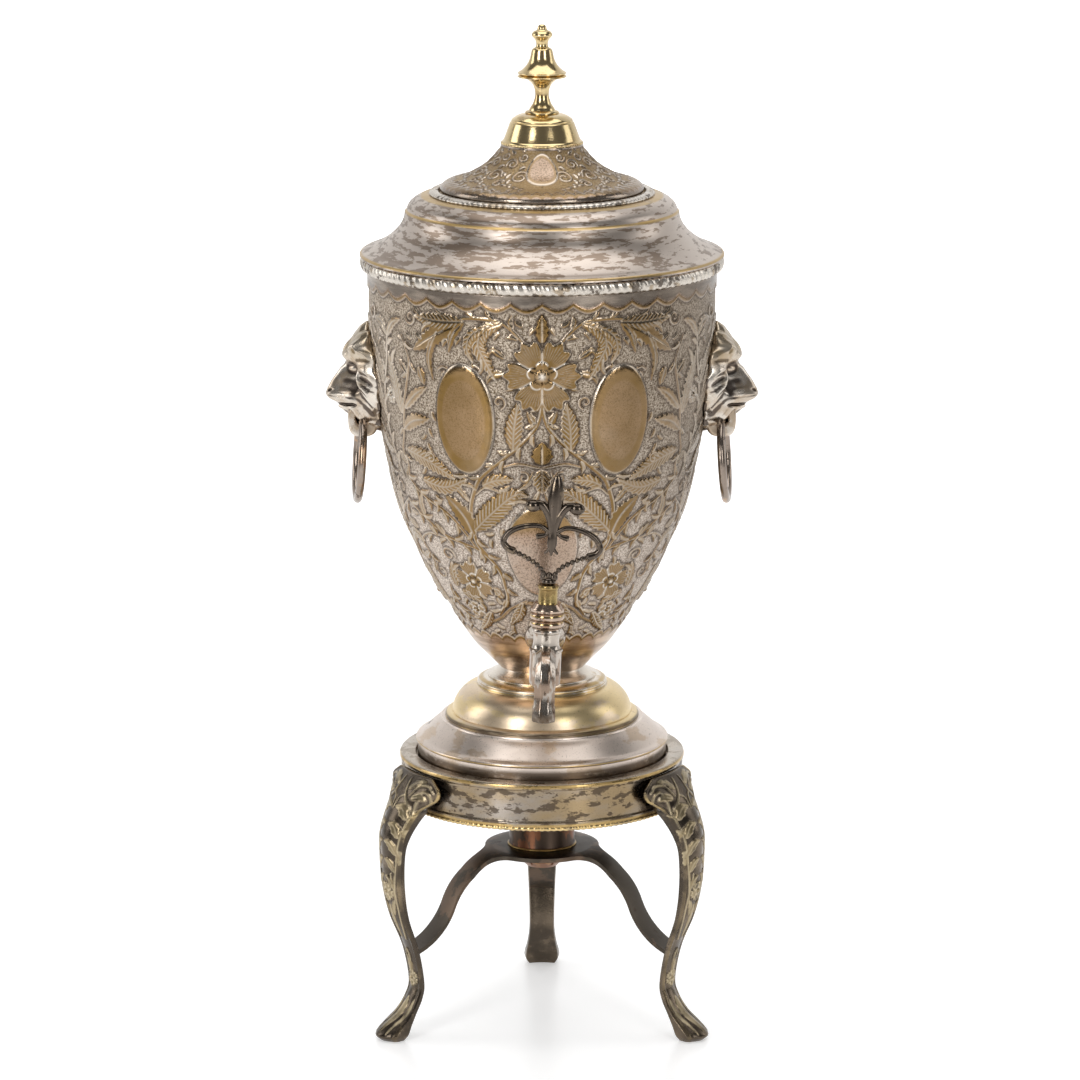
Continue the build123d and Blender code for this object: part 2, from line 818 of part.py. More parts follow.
# Lion masks: stacked ovals looking outwards, as (distance past the bowl's widest, half width,
# half height, middle's height above or below the mask's own middle).
mask_forms = (
    ((-10.8, 23.0, 29.5, -2.0), (-3.8, 22.0, 26.0, -1.0), (1.2, 19.0, 19.5, 2.5),
     (6.2, 13.0, 14.0, 4.0), (8.7, 8.0, 10.0, 5.0)),
    ((1.2, 15.0, 11.0, 8.0), (9.2, 12.5, 9.0, 7.5), (13.7, 7.5, 5.0, 9.0)),
    ((-0.8, 13.0, 12.0, -8.5), (9.2, 11.0, 9.5, -8.0), (16.7, 8.5, 7.5, -7.5), (20.2, 4.5, 4.0, -7.0)),
)
with BuildPart() as mask:
    for form in mask_forms:
        for reach, half_width, half_height, rise in form:
            with BuildSketch(Plane.YZ.offset(bowl_rim_r + reach)):
                with Locations((0, mask_z + rise)):
                    Ellipse(half_width, half_height)
        loft(ruled=True)
    lug_height = ring_hole_z + ring_hole_r + 3.0 - lug_bottom_z
    with BuildSketch(Plane.XZ):
        with Locations((lug_outer_x, lug_bottom_z)):
            Rectangle(lug_outer_x - 0.8 * bowl_rim_r, lug_height, align=(Align.MAX, Align.MIN))
    extrude(amount=lug_half_width, both=True)
    fillet(mask.edges().filter_by(Axis.Y).sort_by(Axis.Z)[:2].sort_by(Axis.X)[-1], 2.0)
    with BuildSketch(Plane.XZ):
        with Locations((ring_hole_x, ring_hole_z)):
            Circle(ring_hole_r)
    extrude(amount=bowl_rim_r, both=True, mode=Mode.SUBTRACT)
    add(bowl_form.part, mode=Mode.SUBTRACT)
    with BuildSketch(Plane.YZ.offset(washer_face_x - mask_nut_height - stud_end)):
        with Locations((0, mask_z)):
            Circle(mask_stud_r)
    extrude(amount=bowl_rim_r + stud_end - washer_face_x + mask_nut_height)

for side, sign in mask_sides.items():
    piece = mask.part if sign > 0 else mirror(mask.part, about=Plane.YZ)
    save(piece, f"lion_mask_{side}")

with BuildPart() as ring:
    hinge = Vector(ring_hole_x, 0, ring_hole_z)
    tilt = math.radians(ring_lean)
    down = Vector(math.sin(tilt), 0, -math.cos(tilt))
    centre = hinge + down * ring_mean_r
    with BuildSketch(Plane(hinge, x_dir=down, z_dir=(0, 1, 0))):
        Circle(ring_wire_r)
    revolve(axis=Axis(centre, Vector(math.cos(tilt), 0, math.sin(tilt))))
for side, sign in mask_sides.items():
    piece = ring.part if sign > 0 else mirror(ring.part, about=Plane.YZ)
    save(piece, f"ring_{side}")

# Tap: planes through the plug's axis, which leans a little. "Across" faces the viewer of the
# front, "along" runs from the bowl to the spout.
lean = math.radians(tap_lean)
plug_axis = Vector(math.sin(lean), 0, math.cos(lean))
plug_side = Vector(math.cos(lean), 0, -math.sin(lean))
plug_line = Axis(tap_origin, plug_axis)
across = Plane(tap_origin, x_dir=plug_side, z_dir=(0, -1, 0))
along = Plane(tap_origin, x_dir=(0, -1, 0), z_dir=-plug_side)
plug_top = tap_neck_top
plug_bottom = -barrel_below


def bore_line(inset):
    """The tapered bore's wall from top to bottom, or the plug's, inset by its clearance."""
    Line((plug_top_r - inset, plug_top), (plug_bottom_r - inset, plug_bottom))


with BuildPart() as tap_body:
    with BuildSketch(across):
        with BuildLine():
            Line((0, plug_bottom), (barrel_r - 1.2, plug_bottom))
            ThreePointArc(
                (barrel_r - 1.2, plug_bottom),
                (barrel_r, 0),
                (barrel_r - 0.2, barrel_above),
            )
            Polyline(
                (barrel_r - 0.2, barrel_above),
                (tap_neck_r, barrel_above + 1.4),
                (tap_neck_r, plug_top),
                (0, plug_top),
                (0, plug_bottom),
            )
        make_face()
    revolve(axis=plug_line)
    # inlet pipe, back into the bowl
    with BuildSketch(Plane.XZ.offset(tap_reach)):
        with Locations((tap_x, tap_z)):
            Circle(inlet_r)
    extrude(amount=-(tap_reach - bowl_neck_r))
    add(bowl_core.part, mode=Mode.SUBTRACT)
    # spout: out of the barrel, round the bend and down to its lip
    with BuildLine() as spout_line:
        out = Line(along.from_local_coords((0, 0)), along.from_local_coords((spout_reach - spout_bend, 0)))
        bend = TangentArc(
            out @ 1, along.from_local_coords((spout_reach, -spout_bend)), tangent=out % 1
        )
        Line(bend @ 1, along.from_local_coords((spout_reach, -spout_drop)))
    with BuildSketch(Plane(tap_origin, x_dir=plug_side, z_dir=(0, -1, 0))):
        RegularPolygon(spout_width / 2, 8, major_radius=False, rotation=22.5)
    sweep(path=spout_line.wires()[0])
    tip_plane = Plane(spout_line.wires()[0] @ 1, x_dir=plug_side, z_dir=-plug_axis)
    with BuildSketch(tip_plane.offset(-spout_lip_height)):
        RegularPolygon(spout_tip_width / 2 + spout_lip, 8, major_radius=False, rotation=22.5)
    extrude(amount=spout_lip_height)
    with BuildSketch(tip_plane):
        RegularPolygon(spout_tip_width / 2, 8, major_radius=False, rotation=22.5)
    extrude(amount=spout_tip_height)
    # waterway: inlet, plug seat and spout
    with BuildSketch(Plane.XZ):
        with Locations((tap_x, tap_z)):
            Circle(tap_bore_r)
    extrude(amount=tap_reach, mode=Mode.SUBTRACT)
    with BuildSketch(Plane(tap_origin, x_dir=plug_side, z_dir=(0, -1, 0))):
        Circle(tap_bore_r)
    sweep(path=spout_line.wires()[0], mode=Mode.SUBTRACT)
    with BuildSketch(tip_plane.offset(-running)):
        Circle(tap_bore_r)
    extrude(amount=spout_tip_height + 2 * running, mode=Mode.SUBTRACT)
    with BuildSketch(across):
        with BuildLine():
            Line((0, plug_top), (plug_top_r, plug_top))
            bore_line(0)
            Polyline((plug_bottom_r, plug_bottom), (0, plug_bottom), (0, plug_top))
        make_face()
    revolve(axis=plug_line, mode=Mode.SUBTRACT)
save(tap_body.part, "tap_body")

# Rosette: a turned flange on the inlet pipe that follows the bowl's wall.
pipe_axis = Axis((tap_x, 0, tap_z), (0, -1, 0))
wall_y = min(point.Y for point, _ in bowl_form.part.find_intersection_points(pipe_axis))
with BuildPart() as tap_rosette:
    back_y = wall_y + rosette_back
    edge_y = wall_y - rosette_length
    with BuildSketch(Plane.YZ.offset(tap_x)):
        with BuildLine():
            Polyline(
                (back_y, tap_z + inlet_r),
                (back_y, tap_z + rosette_r),
                (edge_y, tap_z + rosette_r - 1.0),
                (edge_y - 0.5 * rosette_crown, tap_z + inlet_r + 2.4),
                (edge_y - rosette_crown, tap_z + inlet_r),
                close=True,
            )
        make_face()
    revolve(axis=pipe_axis)
    add(bowl_form.part, mode=Mode.SUBTRACT)
save(tap_rosette.part, "tap_rosette")

head_bottom = plug_top + running
head_top = head_bottom + plug_head_height
ferrule_top = head_top + ferrule_height
shank_end = plug_bottom - running
with BuildPart() as plug:
    with BuildSketch(across):
        with BuildLine():
            Line((0, head_top), (plug_head_r - 0.8, head_top))
            band = plug_head_height / 3
            for level in range(3):
                upper = head_top - level * band
                Polyline(
                    (plug_head_r - 0.8, upper),
                    (plug_head_r, upper - 0.3 * band),
                    (plug_head_r, upper - 0.7 * band),
                    (plug_head_r - 0.8, upper - band),
                )
            Line((plug_head_r - 0.8, head_bottom), (plug_top_r - running, head_bottom))
            Line((plug_top_r - running, head_bottom), (plug_top_r - running, plug_top))
            bore_line(running)
            Polyline(
                (plug_bottom_r - running, plug_bottom),
                (plug_bottom_r - running, shank_end),
                (0, shank_end),
                (0, head_top),
            )
        make_face()
    revolve(axis=plug_line)
    with BuildSketch(Plane(tap_origin + plug_axis * head_top, x_dir=plug_side, z_dir=plug_axis)):
        Rectangle(tenon_width, tenon_width)
    extrude(amount=tenon_height)
    with BuildSketch(Plane(tap_origin, x_dir=(0, -1, 0), z_dir=plug_side)):
        Circle(tap_bore_r)
    extrude(amount=barrel_r, both=True, mode=Mode.SUBTRACT)
    with BuildSketch(Plane(tap_origin + plug_axis * shank_end, x_dir=plug_side, z_dir=plug_axis)):
        Circle(screw_shank_r)
    extrude(amount=screw_shank, mode=Mode.SUBTRACT)
save(plug.part, "tap_plug")

with BuildPart() as ferrule:
    with BuildSketch(across):
        with BuildLine():
            Polyline(
                (0, head_top),
                (ferrule_r, head_top),
                (ferrule_r, ferrule_top - 1.6),
                (ferrule_r + 0.5, ferrule_top - 1.2),
                (ferrule_r + 0.5, ferrule_top),
                (0, ferrule_top),
                close=True,
            )
        make_face()
    revolve(axis=plug_line)
    with BuildSketch(Plane(tap_origin + plug_axis * head_top, x_dir=plug_side, z_dir=plug_axis)):
        Rectangle(tenon_width, tenon_width)
    extrude(amount=tenon_height, mode=Mode.SUBTRACT)
save(ferrule.part, "key_ferrule")

with BuildPart() as plug_washer:
    with BuildSketch(Plane(tap_origin + plug_axis * shank_end, x_dir=plug_side, z_dir=plug_axis)):
        Circle(washer_r)
        Circle(screw_shank_r, mode=Mode.SUBTRACT)
    extrude(amount=-washer_thick)
save(plug_washer.part, "plug_washer")

with BuildPart() as plug_screw:
    head_plane = Plane(
        tap_origin + plug_axis * (shank_end - washer_thick), x_dir=plug_side, z_dir=plug_axis
    )
    with BuildSketch(head_plane):
        Circle(screw_r)
    extrude(amount=-screw_height)
    chamfer(plug_screw.edges().sort_by(Axis.Z)[0], screw_height / 3)
    with BuildSketch(head_plane):
        Circle(screw_shank_r)
    extrude(amount=screw_shank + washer_thick)
    with BuildSketch(head_plane.offset(-screw_height)):
        Rectangle(3 * screw_r, screw_height / 3)
    extrude(amount=screw_height / 3, mode=Mode.SUBTRACT)
save(plug_screw.part, "plug_screw")

# Key: a pierced plate cast with a fleur-de-lis over two loops. Places are across and above the
# ferrule's top, drawn for one half and mirrored.
key_root = tap_origin + plug_axis * ferrule_top
key_turn = math.radians(tap_lean + key_lean)
key_plane = Plane(
    key_root, x_dir=(math.cos(key_turn), 0, -math.sin(key_turn)), z_dir=(0, -1, 0)
)


def key_at(*places):
    """Places on the key, drawn 51.4 high, at its own height."""
    return [(over * key_height / 51.4, up * key_height / 51.4) for over, up in places]


with BuildPart() as key:
    with BuildSketch(key_plane):
        with BuildLine():
            Spline(*key_at((1.8, 4.4), (9.0, 8.6), (19.3, 15.6), (23.0, 18.6), (21.6, 23.4),
                           (14.3, 27.6), (6.0, 28.6), (0.6, 25.6)))
        trace(line_width=key_bar)
        with BuildLine():
            Spline(*key_at((0.8, 26.0), (2.6, 34.0), (6.4, 39.4), (11.0, 39.4)))
        trace(line_width=key_bar)
        with Locations(*key_at((11.0, 38.8))):
            Circle(0.75 * key_bar)
        with BuildLine():
            Spline(*key_at((0.8, 28.0), (4.4, 24.2), (8.0, 23.6)))
        trace(line_width=0.7 * key_bar)
        with BuildLine():
            Polyline(*key_at((0, 16.8), (2.2, 22.0), (1.4, 30.0)))
            Spline(*key_at((1.4, 30.0), (3.4, 40.6), (2.2, 48.2), (0, 51.4)))
            Line(*key_at((0, 51.4), (0, 16.8)))
        make_face()
        mirror(about=Plane.YZ)
    extrude(amount=key_thick / 2, both=True)
    with BuildSketch(across):
        with Locations((0, ferrule_top)):
            Rectangle(7.4, 5.2, align=(Align.CENTER, Align.MIN))
    extrude(amount=0.7 * key_thick, both=True)
save(key.part, "tap_key")
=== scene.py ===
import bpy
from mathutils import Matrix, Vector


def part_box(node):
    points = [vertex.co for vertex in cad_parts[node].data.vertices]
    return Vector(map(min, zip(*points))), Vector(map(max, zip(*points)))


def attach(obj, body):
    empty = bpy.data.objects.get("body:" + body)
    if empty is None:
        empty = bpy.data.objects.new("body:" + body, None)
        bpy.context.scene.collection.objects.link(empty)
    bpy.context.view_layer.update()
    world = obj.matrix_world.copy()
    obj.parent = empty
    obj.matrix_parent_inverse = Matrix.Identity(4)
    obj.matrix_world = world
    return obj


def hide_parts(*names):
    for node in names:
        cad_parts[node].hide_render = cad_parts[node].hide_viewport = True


bl_info = {
    "name": "Antique tea urn",
    "version": (1, 0, 0),
    "blender": (4, 5, 0),
    "location": "3D View > Sidebar > Tea urn",
    "description": "Dresses a plated tea urn on its burner stand in chased silver and brass",
    "category": "Object",
}

import math

import bmesh
import bpy
import numpy as np
from bpy.props import FloatProperty, FloatVectorProperty, IntProperty, PointerProperty
from mathutils import Matrix, Vector

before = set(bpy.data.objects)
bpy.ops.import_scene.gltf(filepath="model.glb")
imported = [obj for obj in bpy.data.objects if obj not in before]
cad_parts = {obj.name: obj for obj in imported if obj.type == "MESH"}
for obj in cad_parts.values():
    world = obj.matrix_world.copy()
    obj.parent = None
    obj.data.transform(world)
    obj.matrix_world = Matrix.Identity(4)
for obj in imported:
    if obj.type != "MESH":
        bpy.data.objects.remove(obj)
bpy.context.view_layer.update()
MM = 0.001
TINY = 1e-9


# Sizes and colours that a user may change

def length_setting(name, description, default, **limits):
    return FloatProperty(
        name=name, description=description, default=default, subtype="DISTANCE", unit="LENGTH", **limits
    )


def colour_setting(name, description, default):
    return FloatVectorProperty(
        name=name, description=description, default=default, subtype="COLOR", min=0.0, max=1.0
    )


class ChasingSettings(bpy.types.PropertyGroup):
    relief: length_setting(
        "Relief", "How far the raised leaves stand from the ground", 0.9 * MM, min=0.0, max=2 * MM
    )
    stipple: length_setting("Stipple", "Depth of the punched ground", 0.16 * MM, min=0.0, max=0.5 * MM)
    front_columns: IntProperty(
        name="Columns", description="Faces across each chased panel at the front", default=130, min=20
    )
    rows: IntProperty(name="Rows", description="Faces up each chased panel", default=480, min=40)


class FinishSettings(bpy.types.PropertyGroup):
    silver: colour_setting("Silver", "Silver plate in good order", (0.66, 0.605, 0.535))
    dull_silver: colour_setting("Dull silver", "Thin, warm silver plate", (0.44, 0.37, 0.29))
    brass: colour_setting("Brass", "Brass that shows where the plate is worn off", (0.215, 0.130, 0.044))
    bright_brass: colour_setting("Bright brass", "Polished brass of the apron's bead wire", (0.72, 0.53, 0.245))
    tarnish: colour_setting("Tarnish", "Brown-black tarnish in patches and hollows", (0.085, 0.062, 0.045))


class StageSettings(bpy.types.PropertyGroup):
    camera_distance: length_setting(
        "Camera distance", "From the camera to the urn's axis, level", 2.45, min=0.5
    )
    camera_height: length_setting("Camera height", "Above the table", 0.785)
    camera_pitch: FloatProperty(
        name="Camera pitch", description="How far the camera looks down",
        default=math.radians(12.36), subtype="ANGLE", unit="ROTATION",
    )
    lens: FloatProperty(
        name="Lens", description="Focal length on a 36 mm sensor", default=166.1, subtype="DISTANCE_CAMERA"
    )
    lamp_power: FloatProperty(
        name="Lamp power", description="Power of the main soft lamp", default=14.0,
        subtype="POWER", unit="POWER",
    )


def settings(name):
    return getattr(bpy.context.scene, name)


# Shader maths on sockets

class Value:
    """A socket of a material that can be added to, multiplied and so on."""

    def __init__(self, paint, socket):
        self.paint = paint
        self.socket = socket

    def maths(self, operation, first, second=0.0, clamp=False):
        return self.paint.add(
            "ShaderNodeMath", {"operation": operation, "use_clamp": clamp}, {0: first, 1: second}
        )

    def __add__(self, other):
        return self.maths("ADD", self, other)

    __radd__ = __add__

    def __sub__(self, other):
        return self.maths("SUBTRACT", self, other)

    def __rsub__(self, other):
        return self.maths("SUBTRACT", other, self)

    def __mul__(self, other):
        return self.maths("MULTIPLY", self, other)

    __rmul__ = __mul__

    def __abs__(self):
        return self.maths("ABSOLUTE", self)

    def clamped(self):
        return self.maths("ADD", self, 0.0, clamp=True)

    def step(self, low, high):
        """0 under low and 1 over high, smooth between."""
        return self.paint.add(
            "ShaderNodeMapRange", {"interpolation_type": "SMOOTHSTEP"},
            {"Value": self, "From Min": low, "From Max": high},
        )


class Paint:
    """One material, built node by node."""

    def __init__(self, name):
        self.material = bpy.data.materials.new(name)
        self.material.use_nodes = True
        self.tree = self.material.node_tree
        self.shader = self.tree.nodes["Principled BSDF"]
        self.place = None

    def put(self, socket, value):
        if isinstance(value, Value):
            self.tree.links.new(value.socket, socket)
        elif hasattr(value, "__len__"):
            numbers = list(value)
            if len(socket.default_value) == 4 and len(numbers) == 3:
                numbers.append(1.0)
            socket.default_value = numbers
        else:
            socket.default_value = value

    def add(self, kind, choices, inputs, output=0):
        node = self.tree.nodes.new(kind)
        for key, value in choices.items():
            setattr(node, key, value)
        for key, value in inputs.items():
            self.put(node.inputs[key], value)
        return Value(self, node.outputs[output])

    def where(self, stretch=(1.0, 1.0, 1.0)):
        """Object coordinates in metres, stretched."""
        if self.place is None:
            self.place = self.add("ShaderNodeTexCoord", {}, {}, "Object")
        if tuple(stretch) == (1.0, 1.0, 1.0):
            return self.place
        return self.add("ShaderNodeMapping", {}, {"Vector": self.place, "Scale": stretch})

    def noise(self, size_mm, detail=3.0, rough=0.55, stretch=(1.0, 1.0, 1.0)):
        """Noise whose lumps are about size_mm across."""
        return self.add(
            "ShaderNodeTexNoise", {},
            {"Vector": self.where(stretch), "Scale": 1.0 / (size_mm * MM),
             "Detail": detail, "Roughness": rough},
        )

    def cells(self, size_mm):
        """Distance from the middles of small cells, for a punched ground."""
        return self.add("ShaderNodeTexVoronoi", {}, {"Vector": self.where(), "Scale": 1.0 / (size_mm * MM)})

    def part(self, axis):
        """One of the point's coordinates in metres; Z is its height above the table."""
        return self.add("ShaderNodeSeparateXYZ", {}, {"Vector": self.where()}, axis)

    def above(self, low_mm, high_mm):
        """0 under a low height and 1 over a high one."""
        return self.part("Z").step(low_mm * MM, high_mm * MM)

    def near_height(self, level_mm, reach_mm):
        """1 at a height above the table, falling to 0 at a reach from it."""
        return abs(self.part("Z") - level_mm * MM).step(reach_mm * MM, 0.35 * reach_mm * MM)

    def mix(self, share, first, second):
        return self.add("ShaderNodeMix", {"data_type": "RGBA"}, {0: share, 6: first, 7: second}, 2)

    def channel(self, attribute, part):
        colour = self.add("ShaderNodeAttribute", {"attribute_name": attribute}, {}, "Color")
        return self.add("ShaderNodeSeparateColor", {}, {"Color": colour}, part)

    def bump(self, height, strength, distance_mm):
        return self.add(
            "ShaderNodeBump", {}, {"Height": height, "Strength": strength, "Distance": distance_mm * MM}
        )

    def finish(self, **sockets):
        for key, value in sockets.items():
            self.put(self.shader.inputs[key.replace("_", " ")], value)
        return self.material

    def metal(self, base, rough, bump):
        return self.finish(Base_Color=base, Metallic=1.0, Roughness=rough, Normal=bump)


def plated(name, plate, under, wear, tarnish_share, roughness,
           wear_size=18.0, tarnish_size=9.0, stretch=(1.0, 1.0, 1.0), pits=0.25,
           brass_lines=(), dark_lines=(), grey_above=None, brushed=1.0, soft=0.04):
    """Plate over brass: worn through in places, tarnished in patches, finely scratched and pitted.

    wear and tarnish_share run from 0, none, to 1, all over. The lines are heights in mm, each with
    how far it reaches, where an edge is worn to brass or a groove holds tarnish.
    """
    paint = Paint(name)
    colours = settings("urn_finish")
    clouds = paint.noise(45.0, 2.0)
    worn = paint.noise(wear_size, 7.0, 0.62, stretch) + (clouds - 0.5) * 0.3
    worn = worn.step(0.74 - soft - 0.36 * wear, 0.74 - 0.36 * wear)
    patches = paint.noise(tarnish_size, 7.0, 0.68, stretch)
    dark = patches.step(0.72 - 0.34 * tarnish_share, 0.75 - 0.34 * tarnish_share)
    specks = paint.noise(0.7, 2.0, 0.5)
    scratches = paint.noise(1.6, 3.0, 0.6, (0.25, 0.25, 3.0))
    base = paint.mix(clouds.step(0.35, 0.7), plate, [0.86 * part for part in plate])
    base = paint.mix(worn * 0.85, base, under)
    base = paint.mix(dark * 0.82, base, colours.tarnish)
    for lines, colour in ((brass_lines, (0.50, 0.345, 0.14)), (dark_lines, (0.10, 0.07, 0.045))):
        for level, reach in lines:
            near = paint.near_height(level, reach) * patches.step(0.25, 0.5)
            base = paint.mix(near * 0.9, base, colour)
    if grey_above is not None:
        base = paint.mix(paint.above(grey_above - 0.3, grey_above + 0.1) * 0.8, base, (0.43, 0.38, 0.325))
    base = paint.mix(specks.step(0.62, 0.72) * pits, base, colours.tarnish)
    rough = roughness + dark * 0.16 + (scratches - 0.5) * 0.12 + (clouds - 0.5) * 0.10
    grain = scratches * 0.4 * brushed + specks * pits + patches * 0.35
    return paint.metal(base, rough, paint.bump(grain, 0.22, 0.25))


def chased_silver(name, golden, side_silver, warm=0.0, darker_right=1.0):
    """Silver plate on chased brass, worn to the brass on the raised work.

    Reads the vertex colours "chasing": red is raised work, green is painted highlights on the cut lines
    and edges, blue is the punched ground and alpha the hollows, darkened there as painted shade. golden
    is how far the raised work is worn to brass, side_silver how much less at the sides, warm how brown
    the ground is and darker_right how much painted shade darkens the right side.
    """
    paint = Paint(name)
    colours = settings("urn_finish")
    raised = paint.channel("chasing", "Red")
    bright = paint.channel("chasing", "Green")
    ground = paint.channel("chasing", "Blue")
    hollow = paint.add("ShaderNodeAttribute", {"attribute_name": "chasing"}, {}, "Alpha")
    clouds = paint.noise(30.0, 3.0)
    blots = paint.noise(7.0, 6.0, 0.65)
    punch = paint.cells(0.9)
    grit = paint.noise(0.8, 3.0, 0.6)
    plain = paint.mix(clouds.step(0.35, 0.68), colours.silver, colours.dull_silver)
    plain = paint.mix(blots.step(0.50, 0.62) * 0.6, plain, (0.33, 0.235, 0.165))
    streaks = paint.noise(7.0, 5.0, 0.6, (0.25, 0.25, 1.5))
    polished = paint.mix(streaks.step(0.38, 0.62), (0.17, 0.14, 0.115), (0.37, 0.31, 0.255))
    plain = paint.mix(paint.above(372.0, 376.0) * 0.9, plain, polished)
    copper = paint.mix(streaks.step(0.38, 0.60), (0.30, 0.19, 0.115), (0.58, 0.42, 0.29))
    plain = paint.mix((1.0 - paint.above(205.0, 209.0)) * 0.85, plain, copper)
    across = paint.part("X")
    side = abs(across).step(0.045, 0.085)
    right = (across.step(0.012, 0.075) * (0.25 + streaks * 0.9)).clamped()
    gold = (golden * (0.72 + clouds * 0.5) * (1.0 - side * side_silver)).clamped()
    upper = paint.above(250.0, 335.0)
    dark_floor = paint.mix(upper, (0.31, 0.24, 0.19), (0.14, 0.10, 0.062))
    light_floor = paint.mix(upper, (0.78, 0.69, 0.60), (0.60, 0.51, 0.41))
    floor = paint.mix(grit.step(0.36, 0.62), dark_floor, light_floor)
    floor = paint.mix(punch.step(0.26, 0.08) * 0.7, floor, (0.11, 0.08, 0.055))
    floor = paint.mix(warm, floor, (0.34, 0.225, 0.095))
    base = paint.mix(ground, plain, floor)
    worn = paint.mix(paint.noise(20.0, 2.0).step(0.35, 0.68), colours.brass, (0.29, 0.185, 0.085))
    worn = paint.mix(grit.step(0.56, 0.72) * 0.5, worn, (0.15, 0.10, 0.055))
    pink = paint.mix(grit.step(0.47, 0.62), (0.44, 0.315, 0.235), (0.19, 0.125, 0.08))
    worn = paint.mix(raised.step(0.45, 0.80), pink, worn)
    base = paint.mix((raised * 1.8).clamped() * gold, base, worn)
    # Painted shade in the hollows round the raised work.
    base = paint.mix(hollow * 0.95, base, (0.07, 0.05, 0.035))
    # Painted highlights on the cut lines and edges.
    base = paint.mix((bright * (0.55 + clouds * 0.9)).clamped(), base, (0.92, 0.87, 0.79))
    # Painted shade over the right side.
    base = paint.mix(right * 0.50 * darker_right, base, (0.13, 0.10, 0.075))
    rough = 0.22 + ground * 0.22 - bright * 0.06 + (clouds - 0.5) * 0.12
    dents = paint.noise(3.0, 3.0, 0.5) * (0.25 + raised * 1.1)
    grain = punch * ground * 0.9 + grit * (0.12 + ground) + dents
    return paint.metal(base, rough, paint.bump(grain, 0.6, 0.35))


# Mesh helpers

def to_mesh(bm, name, smooth=False):
    """A new mesh of a bmesh, which is freed."""
    if smooth:
        for face in bm.faces:
            face.smooth = True
    mesh = bpy.data.meshes.new(name)
    bm.to_mesh(mesh)
    bm.free()
    return mesh


def body_piece(bm_or_mesh, name, body, node, material, smooth_under=40.0):
    """Makes an object of a mesh, rides it on its body and lets it stand for a node.

    A bmesh is shaded smooth, but for edges sharper than smooth_under degrees.
    """
    mesh = bm_or_mesh
    if isinstance(bm_or_mesh, bmesh.types.BMesh):
        for edge in bm_or_mesh.edges:
            if len(edge.link_faces) == 2 and edge.calc_face_angle(0.0) > math.radians(smooth_under):
                edge.smooth = False
        mesh = to_mesh(bm_or_mesh, name, smooth=True)
    piece = bpy.data.objects.new(name + "_dressed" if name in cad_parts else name, mesh)
    bpy.context.scene.collection.objects.link(piece)
    piece.data.materials.append(material)
    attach(piece, body)
    if node:
        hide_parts(node)
    return piece


def finish_node(node, material):
    """Gives a node that keeps its own mesh a material."""
    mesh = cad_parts[node].data
    mesh.materials.clear()
    mesh.materials.append(material)


def lengths_along(line):
    """How far each point of a line lies along it."""
    return np.concatenate([[0.0], np.cumsum(np.hypot(*np.diff(line, axis=0).T))])


def unit(steps):
    """Directions of some steps, each of length 1."""
    return steps / (np.linalg.norm(steps, axis=1)[:, None] + TINY)


def smooth_line(points, per_span=6):
    """A smooth line through points, as an array, by Catmull-Rom spans."""
    pts = np.array(points, float)
    ends = np.vstack([2 * pts[0] - pts[1], pts, 2 * pts[-1] - pts[-2]])
    share = np.linspace(0.0, 1.0, per_span, endpoint=False)[:, None]
    out = []
    for a, b, c, d in zip(ends, ends[1:], ends[2:], ends[3:]):
        out.append(
            0.5 * (2 * b + (c - a) * share + (2 * a - 5 * b + 4 * c - d) * share**2
                   + (3 * b - a - 3 * c + d) * share**3)
        )
    return np.vstack(out + [pts[-1:]])


def turned(section, steps):
    """A bmesh spun from a closed section of (radius, height) rows in millimetres."""
    bm = bmesh.new()
    rows = [bm.verts.new((r * MM, 0.0, z * MM)) for r, z in section]
    edges = [bm.edges.new((a, b)) for a, b in zip(rows, rows[1:] + rows[:1])]
    bmesh.ops.spin(
        bm, geom=rows + edges, cent=(0, 0, 0), axis=(0, 0, 1), dvec=(0, 0, 0),
        angle=math.tau, steps=steps, use_merge=True, use_normal_flip=False, use_duplicate=False,
    )
    bmesh.ops.remove_doubles(bm, verts=bm.verts, dist=1e-6)
    flat = [face for face in bm.faces if face.calc_area() < 1e-14]
    bmesh.ops.delete(bm, geom=flat, context="FACES")
    bmesh.ops.recalc_face_normals(bm, faces=bm.faces)
    return bm


def wrapped(name, columns, rows, place, colours=None):
    """A mesh from a grid whose points are put by place(u, v), arrays from 0 to 1."""
    bm = bmesh.new()
    bmesh.ops.create_grid(bm, x_segments=columns, y_segments=rows, size=0.5)
    mesh = to_mesh(bm, name)
    co = np.empty(len(mesh.vertices) * 3, np.float32)
    mesh.vertices.foreach_get("co", co)
    u, v = np.clip(co.reshape(-1, 3)[:, :2] + 0.5, 0, 1).astype(float).T
    mesh.vertices.foreach_set("co", np.ascontiguousarray(place(u, v), np.float32).ravel())
    if colours is not None:
        layer = mesh.color_attributes.new("chasing", "FLOAT_COLOR", "POINT")
        layer.data.foreach_set("color", np.ascontiguousarray(colours(u, v), np.float32).ravel())
    mesh.polygons.foreach_set("use_smooth", np.ones(len(mesh.polygons), bool))
    mesh.update()
    return mesh


def closed_up(mesh):
    """The same mesh with doubled points at seams and poles joined and faces turned outwards."""
    bm = bmesh.new()
    bm.from_mesh(mesh)
    bmesh.ops.remove_doubles(bm, verts=bm.verts, dist=2e-6)
    bmesh.ops.dissolve_degenerate(bm, edges=bm.edges, dist=1e-7)
    bmesh.ops.recalc_face_normals(bm, faces=bm.faces)
    bm.to_mesh(mesh)
    bm.free()
    return mesh


# Chasing: relief drawn by strokes, leaves and flowers over azimuth and height

